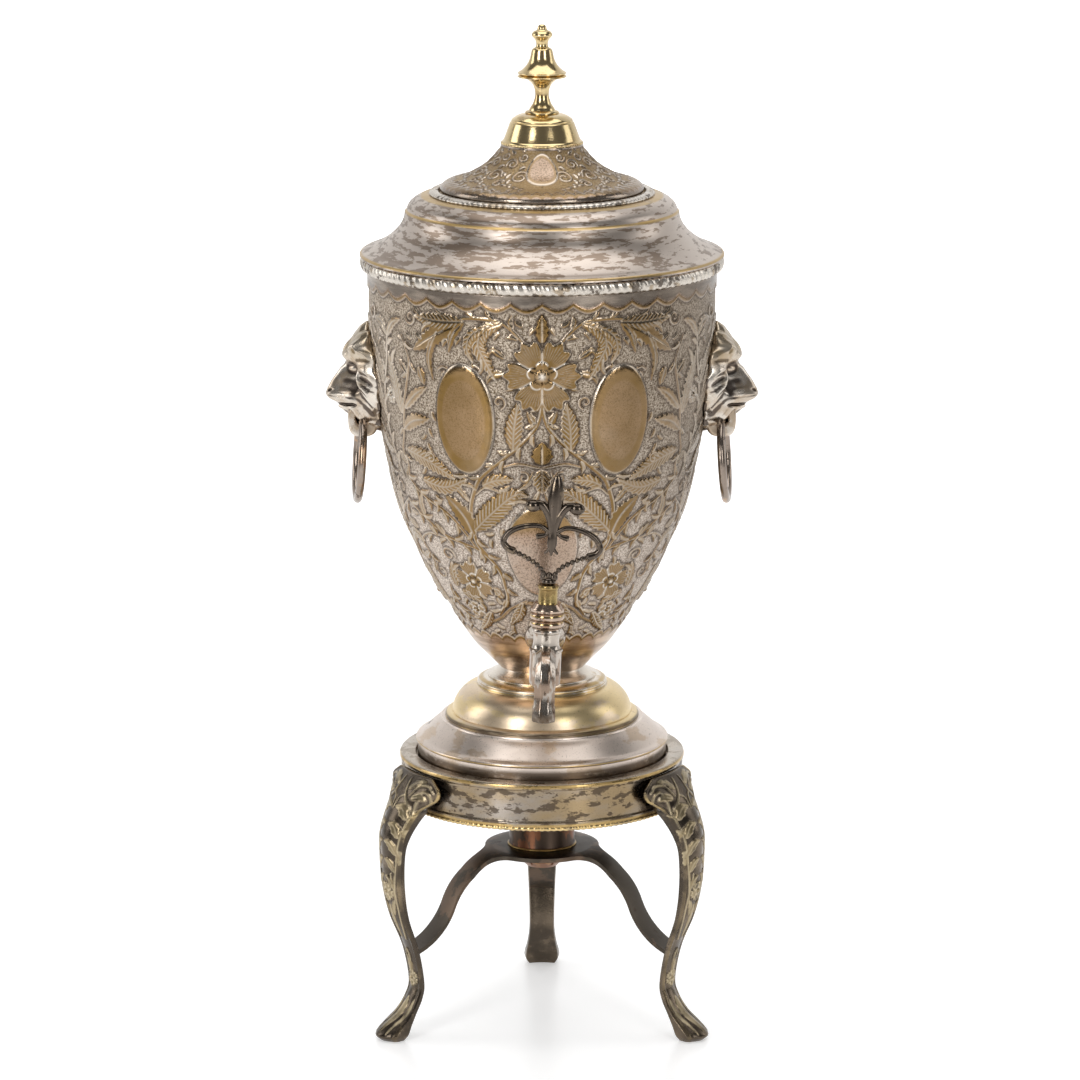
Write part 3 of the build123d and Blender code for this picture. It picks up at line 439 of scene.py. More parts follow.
class Chasing:
    """Raised work over a quarter of a turned wall, from the front (0 degrees) to the side (90).

    Places are (azimuth in degrees, height in mm). The map keeps five layers: how far each point
    stands out in mm, how raised, how bright with painted highlight, how much of it is punched ground,
    and how hollow, for painted shade.
    """

    def __init__(self, wall, columns=451, rows=640):
        wall = np.array(wall, float)
        run = lengths_along(wall)
        self.azimuth = np.linspace(0.0, 90.0, columns)
        self.run = np.linspace(0.0, run[-1], rows)
        self.radius = np.interp(self.run, run, wall[:, 0])
        self.level = np.interp(self.run, run, wall[:, 1])
        self.relief, self.raised, self.bright = np.zeros((3, rows, columns))
        self.ground = np.ones((rows, columns))

    def to_run(self, height):
        return np.interp(height, self.level, self.run)

    def window(self, azimuth, run, reach):
        """Slices of the map that hold some points and what lies within reach mm of them."""
        radius = np.interp(np.mean(run), self.run, self.radius)
        spread = math.degrees(reach / radius)
        columns = slice(*np.searchsorted(self.azimuth, [azimuth.min() - spread, azimuth.max() + spread]))
        rows = slice(*np.searchsorted(self.run, [run.min() - reach, run.max() + reach]))
        return rows, columns

    def along(self, points, reach):
        """For pixels near a smooth line: their window, share along it, and distance to its side."""
        line = smooth_line([(a, self.to_run(h)) for a, h in points], 10)
        rows, columns = self.window(line[:, 0], line[:, 1], reach)
        radius = np.interp(line[:, 1], self.run, self.radius)
        step = np.gradient(line, axis=0)
        step[:, 0] = np.radians(step[:, 0]) * radius
        length = np.concatenate([[0.0], np.cumsum(0.5 * np.hypot(*(step[1:] + step[:-1]).T))])
        step = unit(step)
        azimuth, run = np.meshgrid(self.azimuth[columns], self.run[rows])
        best = np.full(azimuth.shape, np.inf)
        share, side = np.zeros((2, *azimuth.shape))
        for k in range(len(line)):
            across = np.radians(azimuth - line[k, 0]) * radius[k]
            up = run - line[k, 1]
            far = across**2 + up**2
            near = far < best
            best[near] = far[near]
            share[near] = (length[k] + across * step[k, 0] + up * step[k, 1])[near]
            side[near] = (up * step[k, 0] - across * step[k, 1])[near]
        return rows, columns, share / length[-1], side, length[-1]

    def lay(self, rows, columns, relief, raised, bright):
        """Lays a motif over the map: it covers what is under it."""
        cover = raised > 0.02
        part = self.relief[rows, columns]
        part[cover] = np.maximum(part, relief)[cover]
        for layer, new in ((self.raised, raised), (self.bright, bright)):
            old = layer[rows, columns]
            old[cover] = (new + old * (1 - raised))[cover]
        left = self.ground[rows, columns]
        left[cover] = np.minimum(left, 1 - raised)[cover]

    def stroke(self, points, width, height=0.75):
        """A raised stem of a width in mm, thinner towards its ends, with a painted highlight along one edge."""
        rows, columns, share, side, length = self.along(points, width + 1.5)
        inside = np.clip(share, 0, 1)
        over = np.abs(share - inside) * length
        half = 0.5 * width * (0.45 + 0.55 * np.sin(math.pi * (0.15 + 0.7 * inside)))
        far = np.hypot(side, over)
        body = np.clip((half - far) / 0.35 + 0.5, 0, 1)
        dome = np.sqrt(np.clip(1 - (far / (half + 0.25)) ** 2, 0, 1))
        # Painted highlight along one edge of the stem.
        edge = np.exp(-(((side - 0.62 * half) / 0.28) ** 2)) * body
        self.lay(rows, columns, height * dome, body, 0.5 * edge)

    def leaf(self, points, half_width, veins=True, height=1.0):
        """A leaf along a spine: flat-topped, edged, with a midrib and cut veins, and painted highlights on
        them.
        """
        rows, columns, share, side, length = self.along(points, half_width + 2.0)
        inside = np.clip(share, 0, 1)
        over = np.abs(share - inside) * length
        shape = np.sin(math.pi * inside**0.8) ** 0.75
        lobes = 1 + 0.10 * np.sin(inside * length * 1.9)
        half = half_width * (0.10 + 0.90 * shape) * lobes
        far = np.hypot(np.abs(side), over * 1.5)
        body = np.clip((half - far) / 0.45 + 0.5, 0, 1)
        plate = np.clip((half - far) / 0.9, 0, 1)
        relief = height * np.sqrt(np.clip(plate * (2 - plate), 0, 1))
        edge = np.exp(-(((half - far - 0.35) / 0.34) ** 2)) * body
        # Painted highlight along one edge of the leaf.
        bright = 0.34 * edge * (side > 0)
        if veins:
            rib = np.exp(-((side / 0.42) ** 2)) * body
            beat = (inside * length - 1.15 * np.abs(side)) / 2.5
            cut = np.clip(2.2 * np.cos(2 * math.pi * beat) - 1.35, 0, 1)
            cut *= np.clip((np.abs(side) - 0.5) / 0.5, 0, 1)
            cut *= np.clip((0.86 * half - np.abs(side)) / 0.5, 0, 1)
            cut *= np.clip(inside * 8, 0, 1) * np.clip((1 - inside) * 8, 0, 1)
            relief *= 1 - 0.22 * (side / (half + 0.1)) ** 2 - 0.12 * (side > 0)
            relief -= 0.34 * cut * body + 0.22 * rib
            # Painted highlights in the cut veins and along the midrib.
            bright = np.clip(bright + 0.62 * cut + 0.3 * rib, 0, 1)
        else:
            rib = np.exp(-((side / 0.45) ** 2)) * body * np.clip((1 - inside) * 3, 0, 1)
            relief = relief * (1 - 0.25 * (side > 0) * body) - 0.25 * rib
            # Painted highlight along the midrib.
            bright = np.clip(bright + 0.3 * rib, 0, 1)
        self.lay(rows, columns, relief, body, bright * body)

    def curl(self, centre, radius, start, turns, width=1.0, height=0.75):
        """A stem that winds inwards round a centre, from a first bearing in degrees, 0 being up."""
        share = np.linspace(0.0, 1.0, 10)
        bearing = math.radians(start) + share * turns * math.tau
        reach = radius * (1 - 0.75 * share)
        run = self.to_run(centre[1])
        azimuth = centre[0] + np.degrees(reach * np.sin(bearing) / np.interp(run, self.run, self.radius))
        level = np.interp(run + reach * np.cos(bearing), self.run, self.level)
        self.stroke(list(zip(azimuth, level)), width, height)

    def sprigs(self, points, spacing, length, half_width):
        """Small leaves on both sides of a stem, in mm, wherever the ground is still free."""
        line = smooth_line([(a, self.to_run(h)) for a, h in points], 10)
        radius = np.interp(line[:, 1], self.run, self.radius)
        step = np.column_stack([np.radians(np.gradient(line[:, 0])) * radius, np.gradient(line[:, 1])])
        size = np.hypot(*step.T)
        reached = np.concatenate([[0.0], np.cumsum(size[1:])])
        step /= size[:, None]
        for number, along in enumerate(np.arange(0.5 * spacing, reached[-1], spacing)):
            k = int(np.searchsorted(reached, along))
            hand = 1 if number % 2 else -1
            aside = np.array([-step[k, 1], step[k, 0]]) * hand
            spine = []
            for ahead, away in ((0.0, 0.12), (0.45, 0.36), (0.70, 0.78)):
                move = length * (ahead * step[k] + away * aside)
                spine.append((line[k, 0] + math.degrees(move[0] / radius[k]), line[k, 1] + move[1]))
            azimuth, run = np.array(spine).T
            taken = self.read(self.raised, azimuth[1:], run[1:] / self.run[-1]).max()
            if taken < 0.2 and 0 < azimuth[2] < 90:
                points = list(zip(azimuth, np.interp(run, self.run, self.level)))
                self.leaf(points, half_width, veins=False)

    def polar(self, centre, radius):
        """Window round a centre, with each pixel's distance and bearing (0 is up) from it."""
        run = self.to_run(centre[1])
        rows, columns = self.window(np.array([centre[0]]), np.array([run]), radius)
        azimuth, level = np.meshgrid(self.azimuth[columns], self.run[rows])
        across = np.radians(azimuth - centre[0]) * np.interp(run, self.run, self.radius)
        up = level - run
        return rows, columns, np.hypot(across, up), np.arctan2(across, up), across, up

    def flower(self, centre, radius, petals, turn=0.0, height=1.0):
        """An open flower: notched petals with fine rays, small inner petals and a boss; painted highlights on
        them.
        """
        rows, columns, far, bearing, _, _ = self.polar(centre, radius * 1.15)
        phase = (bearing - math.radians(turn)) * petals / math.tau
        petal = np.abs(phase - np.round(phase)) * 2
        rim = radius * (1 - 0.26 * petal**3) * (1 + 0.07 * np.cos(phase * math.tau * 3))
        body = np.clip((rim - far) / 0.5 + 0.5, 0, 1)
        plate = np.clip((rim - far) / 1.2, 0, 1)
        share = far / rim
        relief = height * (0.62 + 0.38 * np.clip(share, 0, 1)) * np.sqrt(np.clip(plate * (2 - plate), 0, 1))
        seam = np.exp(-(((petal - 1) * far * 0.55 / 0.5) ** 2)) * (share > 0.2)
        relief -= 0.42 * seam
        rays = np.clip(1.6 * np.cos(bearing * round(60 * radius / 16)) - 0.7, 0, 1)
        rays *= np.clip((share - 0.42) * 9, 0, 1) * np.clip((0.92 - share) * 9, 0, 1)
        edge = np.exp(-(((rim - far - 0.4) / 0.35) ** 2))
        # Painted highlights on the rays, the petals' edges and their seams.
        bright = 0.25 * rays + 0.5 * edge + 0.4 * seam * (share > 0.45)
        relief -= 0.14 * rays
        inner = np.abs(bearing * 5 / math.tau - np.round(bearing * 5 / math.tau)) * 2
        loop = radius * 0.40 * (1 - 0.30 * inner**2)
        relief += 0.45 * np.clip((loop - far) / 0.8, 0, 1) * (1 - 0.8 * inner**3)
        # Painted highlight round the inner petals.
        bright += 0.7 * np.exp(-(((loop - far) / 0.35) ** 2)) * (inner < 0.8)
        boss = radius * 0.19
        relief += 0.65 * np.sqrt(np.clip(1 - (far / boss) ** 2, 0, 1))
        relief -= 0.35 * np.exp(-(((far - boss) / 0.3) ** 2))
        # Painted highlight on the middle of the boss.
        bright += 0.8 * np.exp(-((far / (0.45 * boss)) ** 2))
        self.lay(rows, columns, relief, body, np.clip(bright, 0, 1) * body)

    def cartouche(self, centre, half_width, half_height, height=1.5,
                  border=0.1, grain=0.0, golden_middle=0.3, golden_top=0.0):
        """A smooth oval boss; its middle is less golden, but for its top, and grained if asked."""
        rows, columns, _, _, across, up = self.polar(centre, max(half_width, half_height) + 2)
        oval = np.hypot(across / half_width, up / half_height)
        gap = (1 - oval) * half_width
        body = np.clip(gap / 0.5 + 0.5, 0, 1)
        plate = np.clip(gap / 2.4, 0, 1)
        relief = height * np.sqrt(np.clip(plate * (2 - plate), 0, 1)) + 0.30 * (1 - oval**2) * body
        part = self.relief[rows, columns]
        cover = body > 0.02
        part[cover] = relief[cover]
        raised = self.raised[rows, columns]
        faded = np.clip((1 - border - oval) / 0.2, 0, 1)
        faded *= 1 - golden_top * np.clip(up / half_height * 2 - 0.6, 0, 1)
        raised[cover] = (body * (1 - golden_middle * faded))[cover]
        bright = self.bright[rows, columns]
        # Painted highlight round the oval's edge.
        bright[cover] = (0.40 * np.exp(-(((gap - 0.3) / 0.35) ** 2)))[cover]
        ground = self.ground[rows, columns]
        ground[cover] = ((1 - body) + grain * body * np.clip((1 - border - oval) / 0.1, 0, 1))[cover]

    def plain(self, above, scallop=0.0, pitch=8.0, under=False):
        """A smooth band above (or under) a height, its edge scalloped."""
        azimuth, level = np.meshgrid(self.azimuth, self.level)
        wave = np.abs(np.sin(math.pi * azimuth / pitch))
        hand = -1 if under else 1
        gap = hand * (level - above) + scallop * wave
        body = np.clip(gap / 0.4 + 0.5, 0, 1)
        edge = np.exp(-(((gap - 1.3) / 1.3) ** 2))
        # A thin painted highlight along the band's edge.
        line = 0.25 * np.exp(-(((gap - 0.5) / 0.3) ** 2))
        self.relief = self.relief * (1 - body) + 0.85 * body * np.clip(gap / 0.7, 0, 1)
        self.raised = self.raised * (1 - body) + edge * body
        self.bright = self.bright * (1 - body) + line * body
        self.ground = self.ground * (1 - body)

    def roughen(self, amount, seed):
        """Punch marks over the ground; the map is finished with this."""
        marks = np.random.default_rng(seed).random(self.relief.shape)
        soft = 0.5 * marks + 0.125 * sum(
            np.roll(marks, shift, axis) for axis in (0, 1) for shift in (-1, 1)
        )
        self.relief = self.relief - amount * (soft - 0.4) * self.ground
        self.shade()

    def shade(self):
        """Where a point lies lower than what is round it, for painted shade in the hollows: 0 to 1."""
        soft = self.relief
        for reach in (1, 2, 3):
            for axis in (0, 1):
                soft = (np.roll(soft, reach, axis) + 2 * soft + np.roll(soft, -reach, axis)) / 4
        self.hollow = np.clip((soft - self.relief) * 3.6, 0, 1)

    def layers(self):
        """Raised, bright, ground and hollow, in the order of the colour's channels."""
        return self.raised, self.bright, self.ground, self.hollow

    def read(self, layer, azimuth, share):
        """A layer's value at folded azimuths and shares of the run, between the map's pixels."""
        column = np.clip(azimuth / 90.0, 0, 1) * (len(self.azimuth) - 1)
        row = np.clip(share, 0, 1) * (len(self.run) - 1)
        c0 = np.minimum(column.astype(int), len(self.azimuth) - 2)
        r0 = np.minimum(row.astype(int), len(self.run) - 2)
        fc, fr = column - c0, row - r0
        return ((layer[r0, c0] * (1 - fc) + layer[r0, c0 + 1] * fc) * (1 - fr)
                + (layer[r0 + 1, c0] * (1 - fc) + layer[r0 + 1, c0 + 1] * fc) * fr)


def folded(azimuth):
    """The quarter repeats, mirrored, to the left and to the back."""
    turned_azimuth = np.abs((azimuth + 180) % 360 - 180)
    return np.where(turned_azimuth > 90, 180 - turned_azimuth, turned_azimuth)


def chased_panel(name, map_, wall, first, last, columns, rows, relief, sheet, level):
    """A closed panel of a turned wall between two azimuths, its outside raised by the map.

    The ground lies under the wall's line and the leaves over it, by the level, a share of relief.
    """
    wall = smooth_line(wall, 8)
    run = lengths_along(wall)
    step = unit(np.gradient(wall, axis=0))
    inner_rows = 9
    total = rows + inner_rows + 1

    def at(u, v):
        """Azimuth, the map's azimuth, share of the run and whether it is outside, per point."""
        azimuth = first + (last - first) * u
        row = np.rint(v * total)
        outside = (row <= rows) | (row > rows + inner_rows)
        share = np.where(row <= rows, row / rows, 1 - (row - rows - 1) / (inner_rows - 1))
        share = np.where(row > rows + inner_rows, 0.0, share)
        return azimuth, folded(azimuth), share, outside

    def place(u, v):
        azimuth, quarter, share, outside = at(u, v)
        out = np.where(outside, (map_.read(map_.relief, quarter, share) - level) * relief, -sheet)
        radius, height, step_out, step_up = (
            np.interp(share * run[-1], run, column) for column in (*wall.T, *step.T)
        )
        radius = radius * MM + out * step_up
        height = height * MM - out * step_out
        turn = np.radians(azimuth)
        return np.column_stack([radius * np.sin(turn), -radius * np.cos(turn), height])

    def colours(u, v):
        _, quarter, share, outside = at(u, v)
        layers = [map_.read(layer, quarter, share) * outside for layer in map_.layers()]
        return np.column_stack(layers)

    mesh = wrapped(name, columns, total, place, colours)
    bm = bmesh.new()
    bm.from_mesh(mesh)
    bmesh.ops.remove_doubles(bm, verts=bm.verts, dist=2e-6)
    open_edges = [edge for edge in bm.edges if len(edge.link_faces) == 1]
    ends = bmesh.ops.holes_fill(bm, edges=open_edges, sides=0)["faces"]
    bmesh.ops.recalc_face_normals(bm, faces=bm.faces)
    for face in ends:
        face.smooth = False
    for edge in open_edges:
        edge.smooth = False
    bm.to_mesh(mesh)
    bm.free()
    return mesh


# The bowl

# Outside of the bowl from its soldered bottom to the rim wire: radius and height
BOWL_WALL = (
    (21.0, 184.0), (27.0, 190.2), (34.4, 198.0), (43.4, 211.0), (52.6, 225.0), (58.7, 236.0),
    (63.9, 248.0), (69.4, 260.0), (74.6, 276.0), (79.7, 301.8), (82.6, 321.0), (84.5, 340.0),
    (86.0, 356.0), (86.8, 368.0), (86.8, 378.0), (86.8, 387.0),
)

STEMS = (
    (((0, 342), (0, 333), (2, 322), (8, 312), (14, 305), (21, 297), (24, 292), (27, 282), (28, 274),
      (28, 266), (27, 259), (23, 252), (19, 244), (18, 237), (18, 229), (25, 220)), 2.1),
    (((6, 364), (9, 369), (13, 373.5), (18, 375), (25, 375), (30, 374), (36, 377)), 1.9),
    (((14, 301), (8, 303), (0, 301)), 1.3),
    (((25, 286), (21, 290), (15, 288)), 1.2),
    (((53, 362), (50, 351), (51, 343), (54, 330), (55, 323), (57, 311), (59, 303), (57, 296), (58, 288)), 1.6),
    (((60, 291), (51, 282), (40, 275), (34, 268), (28, 257)), 1.7),
    (((62, 277), (52, 269), (43, 262), (35, 259), (27, 256), (21, 249)), 1.7),
    (((41, 260), (52, 261), (61, 256), (60, 249), (58, 241)), 1.3),
    (((53, 233), (55, 224), (50, 217), (35, 215), (25, 218), (17, 224), (8, 229)), 1.5),
    (((62, 288), (66, 300), (69, 316), (68, 332), (64, 348), (62, 360)), 1.6),
    (((62, 277), (72, 268), (80, 255), (84, 240)), 1.5),
    (((82, 240), (78, 262), (82, 285), (86, 310), (84, 335)), 1.5),
    (((62, 212), (66, 222), (74, 232), (84, 240)), 1.3),
)

# Leaves with cut veins: spine, half width
VEINED_LEAVES = (
    (((13, 373), (19, 369), (21, 362), (19, 355), (15.5, 345)), 3.6),
    (((17, 372), (23, 367), (25, 360), (23, 353)), 2.6),
    (((10, 310), (9.5, 321), (8, 334)), 4.0),
    (((0, 300), (0, 288)), 4.2),
    (((27, 267), (19, 277), (10, 287), (5, 286.5)), 5.2),
    (((22, 291), (17, 294), (10, 295)), 3.0),
    (((49, 290), (38, 288), (28, 293.5)), 3.6),
    (((56, 304), (44, 300), (33, 293)), 4.2),
    (((56, 322), (59, 336), (62, 352)), 4.0),
    (((26, 373), (35, 372), (46, 373)), 3.8),
    (((47, 233), (46.5, 240), (45, 247)), 2.6),
    (((45, 231), (39, 229.5), (33, 226)), 3.0),
    (((68, 318), (74, 328), (76, 342)), 3.8),
    (((66, 300), (73, 304), (79, 314)), 3.6),
    (((68, 334), (73, 346), (80, 356)), 3.8),
    (((72, 268), (72, 278), (75, 290)), 3.8),
    (((84, 300), (77, 296), (72, 288)), 3.0),
    (((84, 262), (88, 272), (88, 286)), 3.0),
    (((66, 222), (70, 228), (70, 240)), 3.0),
    (((30, 221), (37, 214), (46, 209)), 2.4),
    (((10, 228), (13, 221), (20, 214)), 2.6),
    (((4, 226), (4, 218), (8, 212)), 2.4),
    (((84, 336), (86, 346), (85, 360)), 3.4),
    (((60, 255), (67, 258), (73, 252)), 3.0),
)

# Plain leaves and buds: spine, half width
PLAIN_LEAVES = (
    (((29, 371), (37, 365), (47, 356)), 4.2),
    (((26, 373), (30, 366), (32, 357)), 1.9),
    (((36, 367), (40, 354), (39, 342)), 1.9),
    (((45, 348), (43, 339)), 2.4),
    (((54, 325), (48, 333), (42, 338)), 2.6),
    (((56, 314), (50, 319.5), (42, 322)), 3.4),
    (((0, 364), (0, 377)), 2.6),
    (((0, 303), (0, 314)), 4.6),
    (((28, 264), (31, 274), (38, 284)), 4.4),
    (((20, 230), (24, 235)), 2.2),
    (((18, 229), (21, 224)), 1.8),
    (((2, 322), (5, 330)), 1.8),
    (((28, 282), (32, 288), (36, 291)), 1.7),
    (((18, 244), (13.5, 240)), 1.6),
    (((52, 269), (53, 277), (51, 283)), 1.8),
    (((43, 262), (47, 268)), 1.7),
    (((57, 296), (62, 302)), 1.9),
    (((51, 343), (55, 350)), 2.0),
    (((60, 249), (66, 246), (70, 248)), 2.0),
    (((50, 217), (56, 213)), 1.8),
    (((61, 262), (67, 266)), 2.0),
    (((12, 349), (17, 347), (18.5, 343)), 1.9),
    (((12, 356), (16, 360), (18, 357)), 1.7),
    (((62, 360), (66, 366), (72, 367)), 2.4),
    (((62, 360), (58, 367), (53, 370)), 2.2),
    (((84, 335), (80, 341), (77, 350)), 1.8),
)


# Scrolls: centre, radius in mm, first bearing and turns
CURLS = (
    ((23.5, 347.0), 5.2, 300, 1.1), ((34.0, 346.0), 4.2, 60, -1.1), ((48.0, 372.0), 4.0, 90, 1.2),
    ((14.5, 334.0), 3.6, 200, 1.0), ((6.5, 296.0), 3.2, 20, -1.0), ((45.0, 251.0), 4.4, 250, 1.2),
    ((23.0, 233.0), 3.6, 120, -1.1), ((55.0, 240.0), 4.6, 30, 1.1), ((66.0, 282.0), 4.6, 200, -1.2),
    ((74.0, 370.0), 4.4, 90, 1.1), ((80.0, 322.0), 4.6, 160, 1.2), ((88.0, 250.0), 4.0, 180, 1.1),
    ((43.0, 302.0), 3.6, 80, -1.1), ((13.0, 220.0), 3.4, 200, -1.1), ((52.0, 213.0), 3.6, 300, 1.0),
)

# Lines along which small leaves fill what is left of the ground
FILLING = (
    ((0, 373), (20, 368), (45, 361), (70, 358), (90, 362)), ((4, 330), (14, 352), (30, 362), (50, 366)),
    ((4, 284), (12, 274), (22, 262), (36, 250)), ((40, 330), (44, 312), (46, 290), (40, 272)),
    ((14, 292), (30, 290), (46, 276), (60, 268)), ((14, 222), (30, 228), (48, 226), (66, 214)),
    ((60, 346), (72, 330), (78, 310), (80, 290)), ((62, 240), (74, 250), (88, 264)),
    ((2, 212), (20, 211), (44, 211), (70, 211), (90, 211)), ((90, 350), (86, 320), (90, 290), (86, 262)),
)


def draw_bowl():
    """The bowl's ornament: flower, ovals, stems and leaves on a punched ground."""
    chasing = Chasing(smooth_line(BOWL_WALL, 8))
    for points, width in STEMS:
        chasing.stroke(points, width)
    for points, half_width in PLAIN_LEAVES:
        chasing.leaf(points, 1.12 * half_width, veins=False)
    for points, half_width in VEINED_LEAVES:
        chasing.leaf(points, 1.15 * half_width)
    for centre, radius, start, turns in CURLS:
        chasing.curl(centre, radius, start, turns, 1.1)
    for points in (((-3, 363), (-1, 372)), ((8, 343), (12, 340))):
        chasing.leaf(points, 1.5, veins=False)
    for points, _ in STEMS:
        chasing.sprigs(points, 5.2, 7.0, 1.35)
    for points, half_width in VEINED_LEAVES:
        chasing.sprigs(points, 7.0, 2.6 * half_width, 1.3)
    for row in FILLING:
        chasing.sprigs(row, 4.6, 5.6, 1.3)
    chasing.flower((0, 347.5), 18.4, 6, turn=30.0, height=1.25)
    chasing.flower((34, 238.5), 11.0, 5, turn=12.0)
    chasing.flower((40, 221.5), 5.4, 5)
    chasing.flower((84, 224), 6.5, 6)
    chasing.flower((63, 330), 5.0, 5)
    chasing.leaf(((0, 364), (0, 378)), 3.2, veins=False, height=1.2)
    chasing.cartouche((27.3, 324.0), 16.0, 28.0)
    chasing.cartouche(
        (0.0, 256.5), 17.5, 26.5, height=1.35, border=-0.16, grain=0.12, golden_middle=0.55, golden_top=1.0
    )
    chasing.plain(381.0, scallop=3.2, pitch=90.0 / 9)
    chasing.plain(206.5, scallop=2.4, pitch=90.0 / 9, under=True)
    sizes = settings("urn_chasing")
    chasing.roughen(sizes.stipple / sizes.relief, seed=7)
    return chasing


# Turned pieces: profiles of (radius, height) in mm, where a list is a smooth curve from the point
# before it

def profile_line(profile):
    """All points of a profile, its curves drawn out."""
    line = [np.array(profile[0], float)]
    for part in profile[1:]:
        curve = smooth_line([line[-1], *part], 7)[1:] if isinstance(part, list) else np.array([part], float)
        line += [point for point in curve if apart(point, line[-1])]
    return line


def apart(point, other):
    """Whether two points of a section are far enough from each other to keep both."""
    return np.hypot(*(point - other)) > 0.02


def turned_piece(name, outer, inner, body, node, material, steps=200, lean=None):
    """A closed turned wall: up its outer line and back along its inner line; the tap's lean."""
    section = profile_line(outer)
    section += [
        point for point in reversed(profile_line(inner) if inner else [])
        if apart(point, section[-1]) and apart(point, section[0])
    ]
    bm = turned(section, steps)
    if lean is None:
        return body_piece(bm, name, body, node, material)
    return body_piece(leaned(bm, lean), name, body, node, material, 30.0)


def swelled_ring(name, section, columns, rows, swell, body, node, material):
    """A ring of a closed section about the urn's axis; swell(azimuth, share) pushes it outwards."""
    loop = np.array([*section, section[0]], float)
    run = lengths_along(loop)
    middle = loop[:-1].mean(axis=0)

    def place(u, v):
        along = v * run[-1]
        radius, level = (np.interp(along, run, column) for column in loop.T)
        out = np.hypot(radius - middle[0], level - middle[1]) + 1e-6
        push = swell(u * 360.0, v) / out
        radius = radius + (radius - middle[0]) * push
        level = level + (level - middle[1]) * push
        turn = u * math.tau
        return np.column_stack([radius * np.sin(turn), -radius * np.cos(turn), level]) * MM

    mesh = closed_up(wrapped(name, columns, rows, place))
    return body_piece(mesh, name, body, node, material)


def tube(name, path, radii, around=16, squash=1.0, facets=0, flat_axis=(0.0, 1.0, 0.0), rounded=True):
    """A closed tube along a path in mm; radii follow the path, and its ends are rounded over."""
    path = np.array(path, float)
    radii = np.array(np.broadcast_to(np.array(radii, float), len(path)))
    step = unit(np.gradient(path, axis=0))
    if rounded:
        shares = np.array([0.0, 0.5, 0.8, 0.95])
        bulge = np.sqrt(1 - shares**2)
        head = path[0] - step[0] * (radii[0] * 0.6 * bulge)[:, None]
        tail = path[-1] + step[-1] * (radii[-1] * 0.6 * bulge[::-1])[:, None]
        path = np.vstack([head, path, tail])
        radii = np.concatenate([radii[0] * shares, radii, radii[-1] * shares[::-1]])
        step = np.vstack([np.repeat(step[:1], 4, 0), step, np.repeat(step[-1:], 4, 0)])
    side = np.array(flat_axis, float)
    last = len(path) - 1

    def place(u, v):
        index = np.clip(np.rint(v * last).astype(int), 0, last)
        along, radius = step[index], radii[index]
        first = unit(side - along * (along @ side)[:, None])
        second = np.cross(along, first)
        turn = u * math.tau
        if facets:
            part = math.tau / facets
            radius = radius / np.cos((turn + part / 2) % part - part / 2)
        across = (first * (radius * np.cos(turn) * squash)[:, None]
                  + second * (radius * np.sin(turn))[:, None])
        return (path[index] + across) * MM

    return closed_up(wrapped(name, around, last, place))


def joined_mesh(name, meshes):
    """Several meshes as one."""
    bm = bmesh.new()
    for mesh in meshes:
        bm.from_mesh(mesh)
    return to_mesh(bm, name)


def ball(name, centre, radius, squash=(1.0, 1.0, 1.0), across=16):
    """A small ball, in mm."""
    bm = bmesh.new()
    bmesh.ops.create_uvsphere(bm, u_segments=across, v_segments=across // 2 + 2, radius=radius * MM)
    bmesh.ops.scale(bm, vec=squash, verts=bm.verts)
    bmesh.ops.translate(bm, vec=[part * MM for part in centre], verts=bm.verts)
    return to_mesh(bm, name, smooth=True)


SHOULDER_OUTER = (
    (85.6, 393.6), (90.6, 393.6), (90.6, 394.5), [(89.9, 395.3), (87.6, 396.2)],
    [(84.8, 397.2), (79.0, 400.4), (74.0, 404.3), (70.4, 408.6), (68.6, 412.6), (68.2, 415.4)], (67.2, 416.2),
    [(67.0, 417.4), (65.8, 419.6), (62.8, 422.0), (59.4, 423.4), (56.2, 424.0)], (46.0, 424.0), (46.0, 417.0),
)
SHOULDER_INNER = (
    (85.6, 394.6), [(84.6, 395.8), (78.2, 399.2), (72.8, 403.4), (69.2, 408.0), (67.2, 412.0), (66.2, 416.4)],
    [(65.0, 418.4), (61.6, 421.2), (56.0, 422.8)], (47.2, 422.8), (47.2, 417.0),
)
LID_WALL = (
    (49.5, 425.1), (50.2, 426.3), (50.1, 427.8), (48.4, 429.4), (45.0, 430.9), (39.4, 432.6), (31.5, 436.5),
    (27.6, 439.5), (24.3, 442.6), (21.6, 446.0), (19.9, 449.4),
)
CAP_OUTER = (
    (18.4, 449.4), (19.6, 449.4), [(19.9, 450.3), (19.1, 451.2)], [(18.3, 453.2), (16.7, 457.6), (15.9, 459.7)],
    (15.2, 460.2), [(15.3, 460.9), (14.2, 461.9), (12.0, 463.2), (9.0, 464.0)], (2.6, 464.0),
)
CAP_INNER = ((18.4, 449.4), [(17.2, 452.8), (14.4, 459.6), (8.6, 463.0)], (2.6, 463.0))
FINIAL_OUTER = (
    (0.0, 458.2), (2.4, 458.2), (2.4, 464.0), (8.3, 464.0), [(8.5, 464.6), (7.9, 465.3)], (6.6, 465.6),
    [(6.0, 466.9), (4.6, 469.0), (3.6, 472.0), (3.5, 474.4), (4.0, 476.8), (5.2, 479.0), (7.2, 480.7)],
    (7.8, 481.4), [(11.0, 481.7), (12.2, 482.2), (12.0, 482.8), (10.9, 483.2)],
    [(11.9, 483.7), (12.1, 484.3), (11.3, 484.8)],
    [(9.4, 486.2), (7.4, 488.5), (6.1, 491.2), (5.4, 494.3), (5.1, 495.6)], (4.2, 496.3),
    [(3.1, 497.2), (3.0, 499.0), (3.6, 500.6)], [(5.0, 502.2), (5.1, 503.4), (4.2, 504.6)],
    [(2.6, 505.4), (2.1, 506.8), (1.3, 507.8), (0.0, 508.0)],
)
